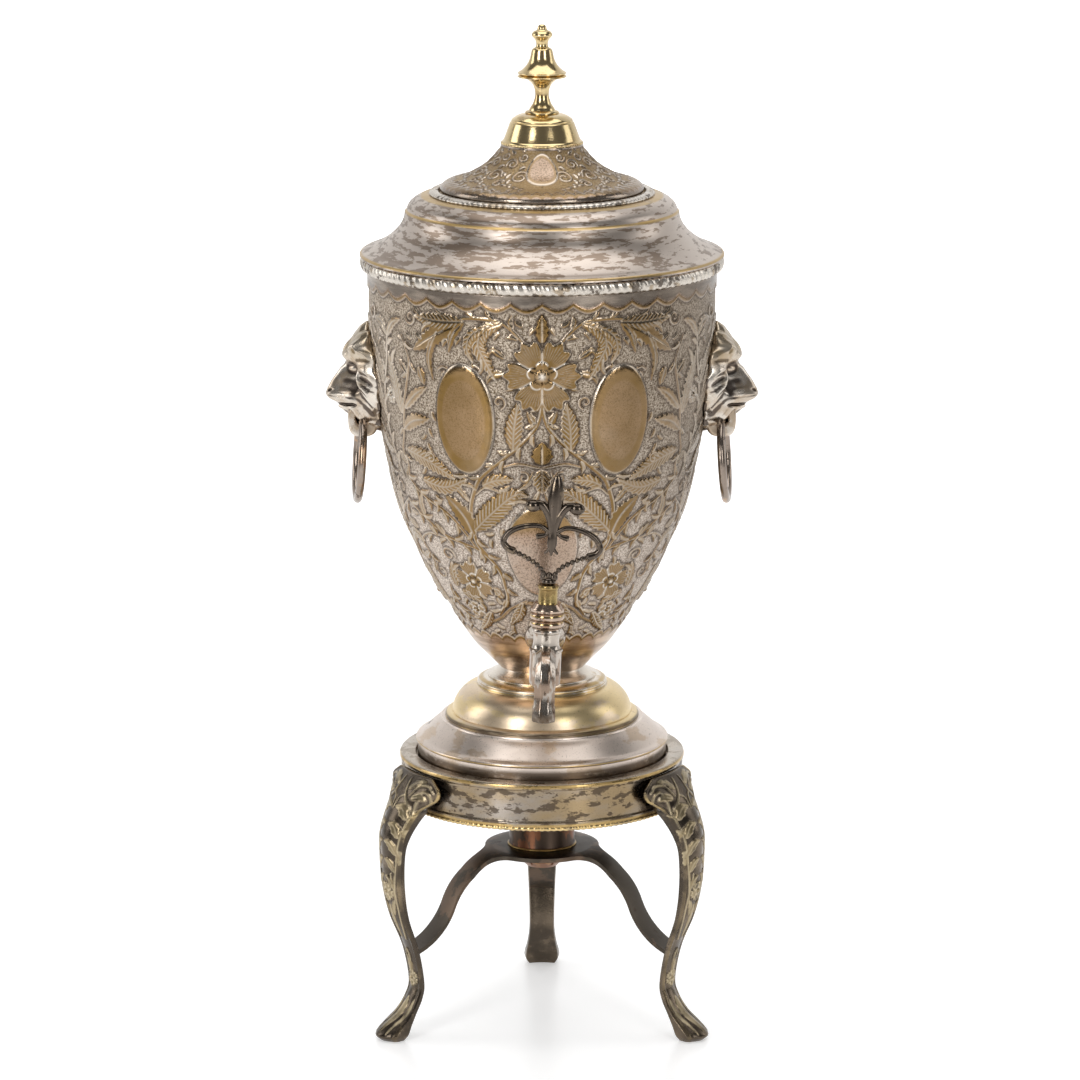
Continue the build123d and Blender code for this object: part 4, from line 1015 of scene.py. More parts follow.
NECK_OUTER = (
    (19.5, 185.4), (20.6, 185.0), [(22.0, 183.2), (24.2, 181.4), (26.6, 180.3)], [(27.5, 179.7), (27.4, 178.9)],
    [(30.0, 178.3), (31.6, 177.6)], [(32.6, 176.8), (32.4, 175.8)], (33.2, 174.4),
)
NECK_INNER = ((19.5, 182.0), [(23.0, 180.0), (27.6, 177.7), (31.6, 174.4)])
DOME_OUTER = (
    (29.6, 174.4), (33.4, 174.4), [(36.8, 173.4), (40.2, 171.1), (43.0, 167.8), (44.7, 164.2), (45.5, 160.8)],
    [(47.2, 160.5), (48.7, 159.5), (49.0, 158.0)],
)
DOME_INNER = (
    (29.6, 173.2), (33.2, 173.2), [(38.6, 170.4), (41.6, 166.9), (43.2, 163.4), (44.2, 160.2)], (47.6, 158.0),
)
BASE_OUTER = (
    (56.0, 137.0), (62.6, 137.0), (63.0, 137.4), (63.0, 145.8), [(63.8, 146.5), (63.5, 147.5), (62.4, 148.1)],
    [(60.8, 149.0), (57.6, 151.8), (54.4, 154.6), (51.9, 156.5)], [(51.2, 157.2), (51.0, 158.0)], (44.4, 158.0),
)
BASE_INNER = (
    (56.0, 138.2), (61.8, 138.2), (61.8, 145.4), [(60.8, 147.4), (56.0, 151.4), (49.2, 156.8)], (44.4, 156.8),
)
STAND_OUTER = (
    (71.8, 118.0), [(72.0, 118.6), (72.0, 120.2)], [(71.5, 120.9), (71.4, 122.0)], (71.4, 135.6),
    [(71.5, 136.5), (72.0, 137.1)], [(72.1, 138.6), (71.5, 139.8), (70.4, 140.1)], (65.4, 139.9),
    [(64.2, 139.8), (63.8, 139.2)], (63.8, 137.0), (55.3, 137.0),
)
STAND_INNER = ((70.4, 118.0), (70.4, 138.4), (65.4, 138.4), (65.4, 135.4), (55.3, 135.4))
CUP_OUTER = (
    (0.0, 79.0), (4.0, 79.0), (4.0, 90.0), (17.3, 90.0), [(17.5, 90.6), (16.9, 91.2)], (16.6, 92.0),
    (16.6, 119.6),
    [(17.3, 120.3), (17.3, 121.4), (16.6, 122.0)], (15.6, 122.0),
)
CUP_INNER = ((0.0, 91.0), (15.6, 91.0), (15.6, 122.0))


# Legs: share of their height, then how far the front, the front's edges and the back stand from
# the apron, then half the width
LEG_HEIGHT = 137.0
APRON_RADIUS = 72.0
LEG_RELIEF = 0.9 * MM
MAP_RADIUS = 16.0  # the leg's ornament is drawn on a wall of this radius
FRONT_SHARE = 0.62  # how much of the way round a leg is its front
CLOSING = 0.03  # share of the rows at each end that close the leg
LEG_SECTIONS = (
    (0.000, 21.5, 16.0, 12.0, 7.4), (0.022, 24.0, 17.5, 10.3, 9.2), (0.055, 19.2, 13.5, 8.3, 8.9),
    (0.095, 11.1, 8.0, 5.1, 7.8), (0.150, 5.8, 3.3, 1.0, 6.8), (0.209, 3.4, 1.6, -0.2, 6.5),
    (0.334, 6.5, 4.8, 3.0, 7.0), (0.465, 14.0, 11.6, 9.2, 8.1), (0.591, 18.4, 15.0, 11.9, 9.2),
    (0.715, 19.6, 15.0, 12.1, 10.5), (0.778, 19.5, 14.0, 9.6, 11.4), (0.837, 17.1, 10.5, 5.0, 13.2),
    (0.883, 14.0, 6.5, 0.3, 15.5), (0.927, 10.5, 0.8, 0.2, 22.5), (0.964, 7.3, 0.2, 0.1, 24.0),
    (1.000, 3.2, 0.2, 0.1, 17.0),
)
# Name, bearing in degrees, columns and rows
LEGS = (
    ("leg_front_left", 210.0, 160, 360), ("leg_front_right", 330.0, 160, 360), ("leg_back", 90.0, 100, 200),
)


def draw_leg():
    """One half of a leg's front: a stem with acanthus leaves, a flower and a shell at the ankle."""
    chasing = Chasing(((MAP_RADIUS, 0.0), (MAP_RADIUS, LEG_HEIGHT)), 361, 640)

    def at(points):
        return [(math.degrees(side / MAP_RADIUS), level) for side, level in points]

    for points, width in (
        (((13.4, 127), (12.4, 119), (10.6, 111), (9.2, 102), (8.0, 92), (6.6, 82), (5.6, 74)), 1.4),
        (((3.0, 135), (4.6, 129), (7.4, 125), (11.6, 121)), 1.1),
        (((12.5, 118), (16.0, 119.5), (19.3, 123.5), (19.6, 128.5), (16.4, 131), (13.2, 129),
          (14.2, 126.2)), 1.1),
        (((5.0, 88), (6.2, 74), (5.4, 62), (3.4, 52)), 0.9),
        (((0.4, 46), (1.4, 42), (1.0, 38)), 0.9),
        (((5.0, 128), (1.8, 126), (0.6, 121)), 0.8),
        (((8.0, 128), (12, 133), (17.5, 133.6), (21, 130.5)), 0.9),
    ):
        chasing.stroke(at(points), width)
    for points, half_width, height in (
        (((11.0, 116.5), (6.6, 121.5), (1.8, 122)), 2.5, 0.9),
        (((9.4, 107), (5.6, 112.5), (1.2, 113.6)), 2.4, 0.9),
        (((8.4, 98), (5.0, 103.5), (0.9, 104.8)), 2.2, 0.9),
        (((7.4, 89), (4.4, 94), (0.8, 95.4)), 2.0, 0.9),
        (((6.0, 80), (3.6, 85), (0.8, 86.6)), 1.6, 0.9),
        (((10.4, 112), (12.6, 108), (11.8, 103)), 1.5, 0.8),
        (((9.0, 101), (10.4, 97.4), (9.6, 93)), 1.2, 0.8),
        (((9.4, 127), (14, 128), (17.6, 126.6)), 2.0, 0.9),
        (((5.4, 131), (9.6, 134), (14.4, 135.4)), 1.7, 0.9),
        (((5.2, 74), (3.2, 70.5), (2.4, 65)), 1.3, 0.8),
        (((0, 71), (0.4, 62), (0, 52)), 1.1, 0.7),
        (((0, 34), (0, 43)), 1.8, 0.9),
        (((0, 21), (1.0, 14), (0.6, 5)), 1.5, 0.8),
        (((4.6, 20), (5.2, 12), (4.6, 4)), 1.1, 0.7),
    ):
        chasing.leaf(at(points), half_width, veins=False, height=height)
    chasing.flower(at([(0, 78)])[0], 5.2, 5, turn=36.0)
    chasing.flower(at([(0, 30.5)])[0], 4.4, 6)
    return chasing


def leg_mesh(name, bearing, columns, rows, map_):
    """A leg wrapped round its sections; the front takes the map's relief."""
    share_of, *parts = smooth_line(LEG_SECTIONS, 24).T
    share_of = np.maximum.accumulate(share_of)
    levels = np.linspace(0.0, 1.0, 400)
    parts = [np.interp(levels, share_of, part) for part in parts]

    def at(u, v):
        """Share of the height, the section's four sizes, and the place across the leg's front."""
        share = np.clip((v - CLOSING) / (1 - 2 * CLOSING), 0, 1)
        front, edge, back, half = [np.interp(share, levels, part) for part in parts]
        across = (np.clip(u / FRONT_SHARE, 0, 1) * 2 - 1) * half
        return share, front, edge, back, half, across, np.clip(np.minimum(v, 1 - v) / CLOSING, 0, 1)

    def place(u, v):
        share, front, edge, back, half, across, closing = at(u, v)
        from_side = half - np.abs(across)
        stand = edge + (front - edge) * (1 - (across / half) ** 2)
        out = map_.read(map_.relief, np.degrees(np.abs(across) / MAP_RADIUS), share) * LEG_RELIEF / MM
        roll = 0.7 * np.exp(-(((from_side - 0.9) / 0.8) ** 2))
        stand = stand + (out + roll) * np.clip(from_side / 0.6, 0, 1)
        on_back = u > FRONT_SHARE
        turned_share = np.clip((u - FRONT_SHARE) / (1 - FRONT_SHARE), 0, 1)
        corner = 0.12
        back_across = np.interp(turned_share, [0, corner, 0.5, 1 - corner, 1], [1, 0.9, 0, -0.9, -1]) * half
        from_corner = np.minimum(turned_share, 1 - turned_share)
        crown = 2 * np.clip((turned_share - corner) / (1 - 2 * corner), 0, 1) - 1
        back_stand = np.where(
            from_corner < corner, edge + (back - edge) * from_corner / corner, back + 1.1 * (1 - crown**2)
        )
        across = np.where(on_back, back_across, across) * closing
        stand = np.where(on_back, np.minimum(back_stand, front + 0.2), stand)
        middle = 0.5 * (edge + back)
        distance = APRON_RADIUS + middle + (stand - middle) * closing
        turn = math.radians(bearing)
        x = distance * math.cos(turn) - across * math.sin(turn)
        y = distance * math.sin(turn) + across * math.cos(turn)
        return np.column_stack([x, y, share * LEG_HEIGHT]) * MM

    def colours(u, v):
        share, _, _, _, half, across, closing = at(u, v)
        azimuth = np.degrees(np.abs(across) / MAP_RADIUS)
        on_front = (u <= FRONT_SHARE) * closing
        # The front carries the map's painted highlights.
        raised, bright = (
            map_.read(layer, azimuth, share) * on_front for layer in (map_.raised, map_.bright)
        )
        # Brass edges, partly worn brass and partly a painted highlight.
        rim = np.exp(-(((half - np.abs(across) - 0.7) / 0.8) ** 2)) * on_front
        return np.column_stack([np.clip(raised, 0, 1), np.clip(bright, 0, 1), rim, np.ones(len(u))])

    return closed_up(wrapped(name, columns, rows, place, colours))


def leg_paint():
    """Dark tarnished plate with beige-gold raised work, painted highlights on its lines, and brass edges that
    are partly worn brass and partly a painted highlight.
    """
    paint = Paint("leg_metal")
    raised = paint.channel("chasing", "Red")
    bright = paint.channel("chasing", "Green")
    rim = paint.channel("chasing", "Blue")
    clouds = paint.noise(24.0, 4.0, 0.6)
    blots = paint.noise(6.0, 6.0, 0.66)
    grit = paint.noise(0.8, 3.0, 0.6)
    base = paint.mix(clouds.step(0.40, 0.66), (0.085, 0.068, 0.052), (0.185, 0.145, 0.105))
    base = paint.mix(blots.step(0.54, 0.66) * 0.4, base, (0.24, 0.185, 0.13))
    base = paint.mix(raised * blots.step(0.30, 0.52) * 0.85, base, (0.36, 0.285, 0.17))
    # Painted highlights along the map's bright lines.
    base = paint.mix((bright * (0.4 + blots)).clamped(), base, (0.70, 0.60, 0.42))
    # Brass edges, partly worn brass and partly a painted highlight, strongest near the top.
    high = 0.15 + paint.above(98.0, 124.0) * 0.7
    base = paint.mix((rim * clouds.step(0.36, 0.60)).clamped() * high, base, (0.58, 0.43, 0.20))
    rough = 0.26 + (blots - 0.5) * 0.16 + raised * 0.04
    return paint.metal(base, rough, paint.bump(grit * 0.5 + blots * 0.6, 0.35, 0.3))


# Lion masks and ring handles

# Where each ring hangs: how far out from the urn's axis, and its height
RING_HINGE = (90.0, 311.6)
MASK_HEIGHT = 333.0
FACE_SHARE = 0.86  # share of the rows that is the face; the others are its back

# How far the lion's head stands out along its middle, by height from the mask's middle, and how
# wide that ridge is there
LION_PROFILE = (
    (-32, 0.5, 8), (-29, 2, 8), (-27, 5, 8), (-24, 10, 9), (-21, 14.6, 9), (-18, 17.4, 8.8), (-16.5, 19.3, 8.4),
    (-14.9, 19.8, 8.4), (-13.5, 20.8, 8.6), (-12.2, 23, 8.6), (-10.4, 24.2, 8.4), (-8.2, 24.4, 8),
    (-5.5, 23, 6.4), (-2.5, 21, 5.2), (0, 19, 5.2), (3.4, 16.4, 5.8), (5.4, 14.2, 7), (7.2, 13.2, 9),
    (9, 13.4, 11), (12, 13.6, 12.5), (15, 12.2, 13), (19, 8.8, 13), (24, 4.5, 13), (28, 1, 12), (30, 0.3, 12),
)
# What is raised or sunk on either side of the face: middle (side, up), reach (side, up), height
LION_FEATURES = (
    ((5.6, 10.0), (4.0, 2.8), 1.8), ((6.6, 4.2), (3.2, 2.8), -3.4), ((6.4, 4.0), (1.9, 1.5), 2.6),
    ((5.2, -10.2), (3.4, 3.0), 2.6), ((2.3, -7.6), (1.1, 0.9), -2.2), ((0.0, -11.5), (0.7, 1.8), -1.2),
    ((9.2, -3.5), (2.0, 6.0), -2.6), ((11.5, -1.0), (2.6, 5.0), 2.2), ((12.5, 15.0), (3.2, 3.6), 4.4),
    ((12.8, 14.2), (1.3, 1.8), -2.6),
)


def lion_height(y, z):
    """How far a lion's face stands out from the bowl, over y and z in mm from its middle."""
    heights, stands, widths = smooth_line(LION_PROFILE, 6).T
    side, up = np.abs(y), z - 1.0
    far = np.hypot(y / 0.9, up / 1.22)
    bearing = np.arctan2(y, up)
    head, crown = (
        9.5 * np.clip(1 - (reach / 23.5) ** 2, 0, 1) ** 0.6 for reach in (far, np.abs(up) / 1.22)
    )
    ridge = np.interp(z, heights, stands) - crown
    out = head + ridge * np.exp(-((side / np.interp(z, heights, widths)) ** 2.2))
    for middle, reach, height in LION_FEATURES:
        far_off = ((side - middle[0]) / reach[0]) ** 2 + ((z - middle[1]) / reach[1]) ** 2
        out = out + height * np.exp(-far_off)
    lips = np.exp(-(((z + 15.0 - 0.12 * side) / 0.8) ** 2))
    lips *= np.clip((side - 0.5) / 2.5, 0.25, 1) * np.clip((11 - side) / 3, 0, 1)
    whiskers = np.exp(-(((side - 6.5) / 2.5) ** 2) - ((z + 10.0) / 2.6) ** 2)
    out = out - 2.2 * lips + 0.45 * whiskers * np.cos(z * 3.2 + side * 0.6)
    mane = np.clip((far - 13.5) / 2.5, 0, 1) * np.clip((24.5 - far) / 4.0, 0, 1)
    mane *= np.clip((16 - z) / 8, 0.3, 1)
    out = out + mane * (1.1 * np.cos(bearing * 9 + 0.30 * far) + 0.3 * np.cos(bearing * 31 + 0.6 * far))
    brow = np.exp(-((side / 4.0) ** 2)) * np.clip((z - 9) / 2, 0, 1) * np.clip((19 - z) / 3, 0, 1)
    return np.maximum(out - 0.5 * brow * np.cos(side * 2.4), 0.15)


def lion_outline(bearing):
    """Edge of the mask by bearing, 0 being up: locks of the mane, narrower at the jaw."""
    wide = 22.0 - 1.5 * np.clip(-np.cos(bearing), 0, 1)
    return wide + 0.9 * np.cos(bearing * 13 + 7.5)


def mask_mesh(name, hand):
    """The lion's head on its side of the bowl; hand is 1 for +X and -1 for -X."""
    wall_radius, wall_height = smooth_line(BOWL_WALL, 8).T

    def at(u, far_share):
        """The mask's edge and a place on it, y and z in mm from its middle."""
        bearing = u * math.tau
        edge = lion_outline(bearing)
        far = far_share * edge
        return edge, far, far * np.sin(bearing) * 0.93, far * np.cos(bearing) * 1.27 - 1.5

    def place(u, v):
        front = v < FACE_SHARE
        edge, far, y, z = at(u, np.where(front, (v / FACE_SHARE) ** 0.85, np.clip((1 - v) / 0.12, 0, 1)))
        radius = np.interp(MASK_HEIGHT + z, wall_height, wall_radius)
        surface = np.sqrt(np.maximum(radius**2 - y**2, 1.0)) + 0.15
        fade = np.clip((edge - far) / 1.5, 0, 1) ** 0.5
        x = np.where(front, surface + 0.2 + lion_height(y, z) * (0.25 + 0.75 * fade), surface)
        return np.column_stack([hand * x, y, MASK_HEIGHT + z]) * MM

    def colours(u, v):
        _, _, y, z = at(u, np.clip(v / FACE_SHARE, 0, 1) ** 0.85)
        here = lion_height(y, z)
        around = sum(lion_height(y + a, z + b) for a, b in ((1.4, 0), (-1.4, 0), (0, 1.4), (0, -1.4))) / 4
        hollow = np.clip((around - here) * 1.6 + 0.1, 0, 1)
        proud = np.clip((here - around) * 1.6, 0, 1)
        return np.column_stack([np.zeros(len(u)), proud, hollow, np.ones(len(u))])

    return closed_up(wrapped(name, 170, 150, place, colours))


def lug_mesh(name, hand):
    """The loop under a mask that holds the ring: a block with a round hole along y."""
    hole = 3.1

    def place(u, v):
        turn = u * math.tau
        across, up = np.cos(turn), np.sin(turn)
        reach_x = np.where(across > 0, 7.0, 8.2)
        reach_z = np.where(up > 0, 6.4, 9.6)
        outer = ((np.abs(across) / reach_x) ** 3 + (np.abs(up) / reach_z) ** 3) ** (-1 / 3)
        corner = np.array([0, 0.06, 0.22, 0.28, 0.5, 0.72, 0.78, 0.94, 1.0])
        share = np.interp(v, corner, [0, 0.12, 0.88, 1.0, 1.0, 1.0, 0.88, 0.12, 0])
        depth = np.interp(v, corner, [-4.6, -5.6, -5.6, -4.6, 0, 4.6, 5.6, 5.6, 4.6])
        radius = hole + (outer - hole) * share
        x = RING_HINGE[0] + radius * across
        return np.column_stack([hand * x, depth, RING_HINGE[1] + radius * up]) * MM

    return closed_up(wrapped(name, 96, 40, place))


def mask_paint():
    """Bright silver with dark hollows and a touch of brass."""
    paint = Paint("mask_metal")
    proud = paint.channel("chasing", "Green")
    hollow = paint.channel("chasing", "Blue")
    clouds = paint.noise(9.0, 4.0, 0.6)
    base = paint.mix(clouds.step(0.40, 0.62), (0.68, 0.615, 0.54), (0.48, 0.38, 0.28))
    base = paint.mix(hollow.step(0.10, 0.42) * 0.9, base, (0.075, 0.055, 0.045))
    base = paint.mix(paint.above(338.0, 348.0) * 0.55, base, (0.34, 0.25, 0.13))
    base = paint.mix(proud * 0.5, base, settings("urn_finish").silver)
    return paint.metal(base, 0.27 + (clouds - 0.5) * 0.12, paint.bump(clouds, 0.15, 0.3))


def ring_mesh(name, hand):
    """A ring that hangs from its lug a little askew, as in the photo."""
    lean, swing = math.radians(4.0), 0.09
    reach, wire = 21.0, 2.1

    def place(u, v):
        turn, cross = u * math.tau, v * math.tau
        radius = reach + wire * np.cos(cross)
        along, thick = radius * np.cos(turn) - reach, wire * np.sin(cross)
        x = RING_HINGE[0] - along * math.sin(lean) + thick * math.cos(lean) + swing * radius * np.sin(turn)
        z = RING_HINGE[1] + along * math.cos(lean) + thick * math.sin(lean)
        return np.column_stack([hand * x, radius * np.sin(turn), z]) * MM

    return closed_up(wrapped(name, 160, 28, place))


# Tap and key

TAP_AXIS = 0.5 * (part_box("plug_washer")[0].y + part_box("plug_washer")[1].y)
TAP_FOOT = Vector((1.6 * MM, TAP_AXIS, 209.6 * MM))
TAP_LEAN = math.radians(2.2)
KEY_LEAN = math.radians(4.8)
KEY_FOOT = 38.45  # where the key stands on its ferrule, in mm over the tap's foot


def leaned(mesh_or_bm, lean, foot=TAP_FOOT):
    """Leans a mesh drawn upright round the origin and stands it at a foot."""
    turn = Matrix.Translation(foot) @ Matrix.Rotation(lean, 4, "Y")
    if isinstance(mesh_or_bm, bmesh.types.BMesh):
        bmesh.ops.transform(mesh_or_bm, matrix=turn, verts=mesh_or_bm.verts)
    else:
        mesh_or_bm.transform(turn)
    return mesh_or_bm


BARREL_OUTER = (
    (3.9, -11.5), (6.0, -11.5), [(7.2, -11.0), (7.6, -9.8)], (7.6, 5.2), [(8.1, 5.8), (8.0, 6.6), (7.2, 7.2)],
    [(6.5, 8.6), (6.3, 11.6), (6.6, 14.6)], [(7.2, 15.4), (7.1, 16.6), (6.4, 17.4)], (4.7, 17.4),
)
BARREL_INNER = ((3.9, -11.5), (4.7, 17.4))
HEAD_OUTER = (
    (0.0, 17.45), (6.2, 17.45), [(7.8, 18.2), (8.3, 19.4), (7.9, 20.6), (7.1, 21.1)],
    [(8.2, 22.0), (8.4, 23.2), (8.1, 24.3), (7.2, 24.9)], [(8.0, 25.6), (8.1, 26.8), (7.4, 27.9)],
    [(6.9, 28.6), (6.3, 29.45)], (0.0, 29.45),
)
FERRULE_OUTER = (
    (0.0, 29.45), (4.9, 29.45), (4.7, 30.2), (4.7, 36.2), [(5.2, 36.8), (5.2, 37.9), (4.8, 38.45)],
    (0.0, 38.45),
)
CORE_OUTER = ((0.0, -14.6), (3.7, -14.6), (4.5, 17.3), (0.0, 17.3))


def spout_mesh():
    """The eight-sided spout: out of the barrel, down in a bend, and a hollow mouth with a lip."""
    half, drop = 5.0, 18.0
    bend = [(0, -7 - 11 * math.sin(t), -7 + 11 * math.cos(t)) for t in np.linspace(0, math.pi / 2, 16)[1:]]
    mouth = (
        (-11.0, half), (-17.6, half), (-18.4, half + 0.5), (-21.6, half + 0.5), (-22.2, half + 0.6),
        (-24.4, half + 0.6), (-25.0, half + 0.2), (-25.0, 3.4), (-19.0, 3.2), (-19.0, 0.0),
    )
    path = [(0, -3.0, 4.0), (0, -6.0, 4.0), *bend, *((0, -drop, level) for level, _ in mouth)]
    sizes = [0.01, half, *(half for _ in bend), *(size for _, size in mouth)]
    return tube("tap_spout", path, sizes, 64, facets=8, flat_axis=(1.0, 0.0, 0.0), rounded=False)


def inlet_mesh():
    """The inlet pipe, from the barrel through its rosette into the bowl."""
    far_end = (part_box("tap_body")[1].y - TAP_FOOT.y) / MM
    path = (
        (3.0, 5.4), (8.0, 5.4), (8.4, 6.2), (9.6, 6.2), (10.0, 5.4), (20.0, 5.4), (46.0, 5.6), (far_end, 5.4),
    )
    points = [(0.0, along, 0.0) for along, _ in path]
    return tube("tap_inlet", points, [size for _, size in path], 48, flat_axis=(1.0, 0.0, 0.0))


def rosette_mesh():
    """The petalled rosette on the bowl, round the inlet pipe."""
    lo, hi = (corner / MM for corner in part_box("tap_rosette"))
    petals, reach, front_share = 12, (hi.x - lo.x) / 2 * 0.9, 0.8

    def place(u, v):
        turn = u * math.tau
        front = v < front_share
        far = np.where(front, v / front_share, (1 - v) / (1 - front_share))
        fold = np.abs(np.cos(turn * petals / 2))
        dome = np.where(front, 0.9 + 4.4 * (1 - far**2) + 0.25 * fold * np.sin(math.pi * far), 0.0)
        x = (lo.x + hi.x) / 2 + far * reach * np.sin(turn)
        z = (lo.z + hi.z) / 2 + far * reach * np.cos(turn)
        bowl = np.interp(z, [p[1] for p in BOWL_WALL], [p[0] for p in BOWL_WALL])
        y = -np.sqrt(np.maximum(bowl**2 - x**2, 1.0)) - dome - 0.1
        return np.column_stack([x, y, z]) * MM

    return closed_up(wrapped("tap_rosette", 144, 30, place))


KEY_ARM = ((2.2, 4.4), (5.6, 8.8), (11.6, 12.4), (18.2, 15.2))
# The key's wires, each made on both sides: points (x, z), thickness along them, squash
KEY_WIRES = (
    (((18.2, 15.2), (21.4, 16.6), (23.4, 19.6), (21.6, 23.6), (17.6, 26.4), (12.0, 28.2), (6.2, 28.4),
      (1.6, 25.8)), (1.9, 1.7, 1.6, 1.5, 1.4, 1.3, 1.2, 1.1), 1.0),
    (((0.9, 20.0), (1.0, 27.0), (2.6, 34.0), (5.8, 38.6), (9.8, 39.4)), (1.2, 1.6, 2.0, 2.1, 1.9), 0.8),
    (((1.0, 27.5), (3.6, 24.4), (7.2, 23.4)), (0.9, 1.0, 1.5), 1.0),
    (((0.5, 19.2), (1.6, 17.0), (3.0, 15.4)), (0.8, 0.8, 0.6), 1.0),
    (KEY_ARM, (0.6, 0.48, 0.48, 0.8), 1.0),
)
# The middle petal of the fleur-de-lis: height and half width
KEY_PETAL = (
    (14.6, 0.6), (16.0, 1.0), (19.0, 2.2), (22.0, 2.4), (26.0, 2.0), (30.0, 2.1), (35.0, 3.1), (40.6, 3.8),
    (46.0, 3.5), (50.6, 2.7), (53.4, 1.6), (54.4, 0.6),
)


def key_meshes():
    """The key: beaded arms, two loops and a fleur-de-lis, drawn upright and flat across x."""
    meshes = []
    for points, radii, squash in KEY_WIRES:
        line = smooth_line(points, 10)
        sizes = np.interp(np.linspace(0, 1, len(line)), np.linspace(0, 1, len(radii)), radii)
        for hand in (1, -1):
            path = np.column_stack([hand * line[:, 0], np.zeros(len(line)), line[:, 1]])
            meshes.append(tube("key_wire", path, sizes, 14, squash))
    arm = smooth_line(KEY_ARM, 12)
    length = lengths_along(arm)
    for hand in (1, -1):
        meshes.append(ball("key_knob", (hand * 10.6, 0.0, 38.2), 3.9, (1.0, 0.72, 0.78)))
        for along in np.linspace(1.2, length[-1] - 0.6, 8):
            x, z = (np.interp(along, length, column) for column in arm.T)
            meshes.append(ball("key_bead", (hand * x, 0.0, z), 1.30))
    level, half = smooth_line(KEY_PETAL, 6).T
    path = np.column_stack([np.zeros(len(level)), np.zeros(len(level)), level])
    meshes.append(tube("key_petal", path, half, 24, 0.6))
    for x, z, size in ((0, 1.2, 3.4), (-2.3, 3.6, 2.0), (2.3, 3.6, 2.0), (0, 4.4, 1.8)):
        meshes.append(ball("key_root", (x, 0.0, z), size, (1.0, 0.8, 0.75 if size > 3 else 1.0)))
    return meshes


def draw_lid():
    """The lid's ornament: a band of leaves and scrolls, with an oval at the front and back."""
    chasing = Chasing(smooth_line(LID_WALL, 8), 451, 260)
    for turn in (20.0, 47.0, 74.0):
        chasing.curl((turn, 436.2), 4.6, 270, 1.4, 1.0)
        chasing.curl((turn + 15, 441.5), 3.6, 120, -1.3, 0.9)
        chasing.curl((turn + 3, 444.8), 2.4, 90, 1.1, 0.8)
        chasing.curl((turn + 16, 433.4), 2.8, 300, 1.2, 0.8)
        for spine in (
            ((turn - 9, 432.6), (turn + 2, 432.0), (turn + 11, 434.6), (turn + 17, 438.6)),
            ((turn - 6, 441.0), (turn + 6, 440.6), (turn + 12, 436.6)),
            ((turn - 8, 446.0), (turn + 4, 447.2), (turn + 16, 446.0)),
            ((turn + 6, 431.2), (turn + 16, 430.9), (turn + 26, 431.4)),
        ):
            chasing.sprigs(spine, 2.6, 3.8, 0.95)
    chasing.cartouche((0.0, 438.9), 7.6, 10.6, height=0.9, border=0.10, grain=0.2, golden_middle=0.5)
    chasing.plain(448.2, scallop=0.0)
    chasing.plain(430.4, scallop=0.9, pitch=90.0 / 14, under=True)
    chasing.roughen(0.16, seed=11)
    return chasing


# One operator for each piece or group of like pieces

class PieceOperator:
    """What all the operators share."""

    bl_options = {"REGISTER", "UNDO"}


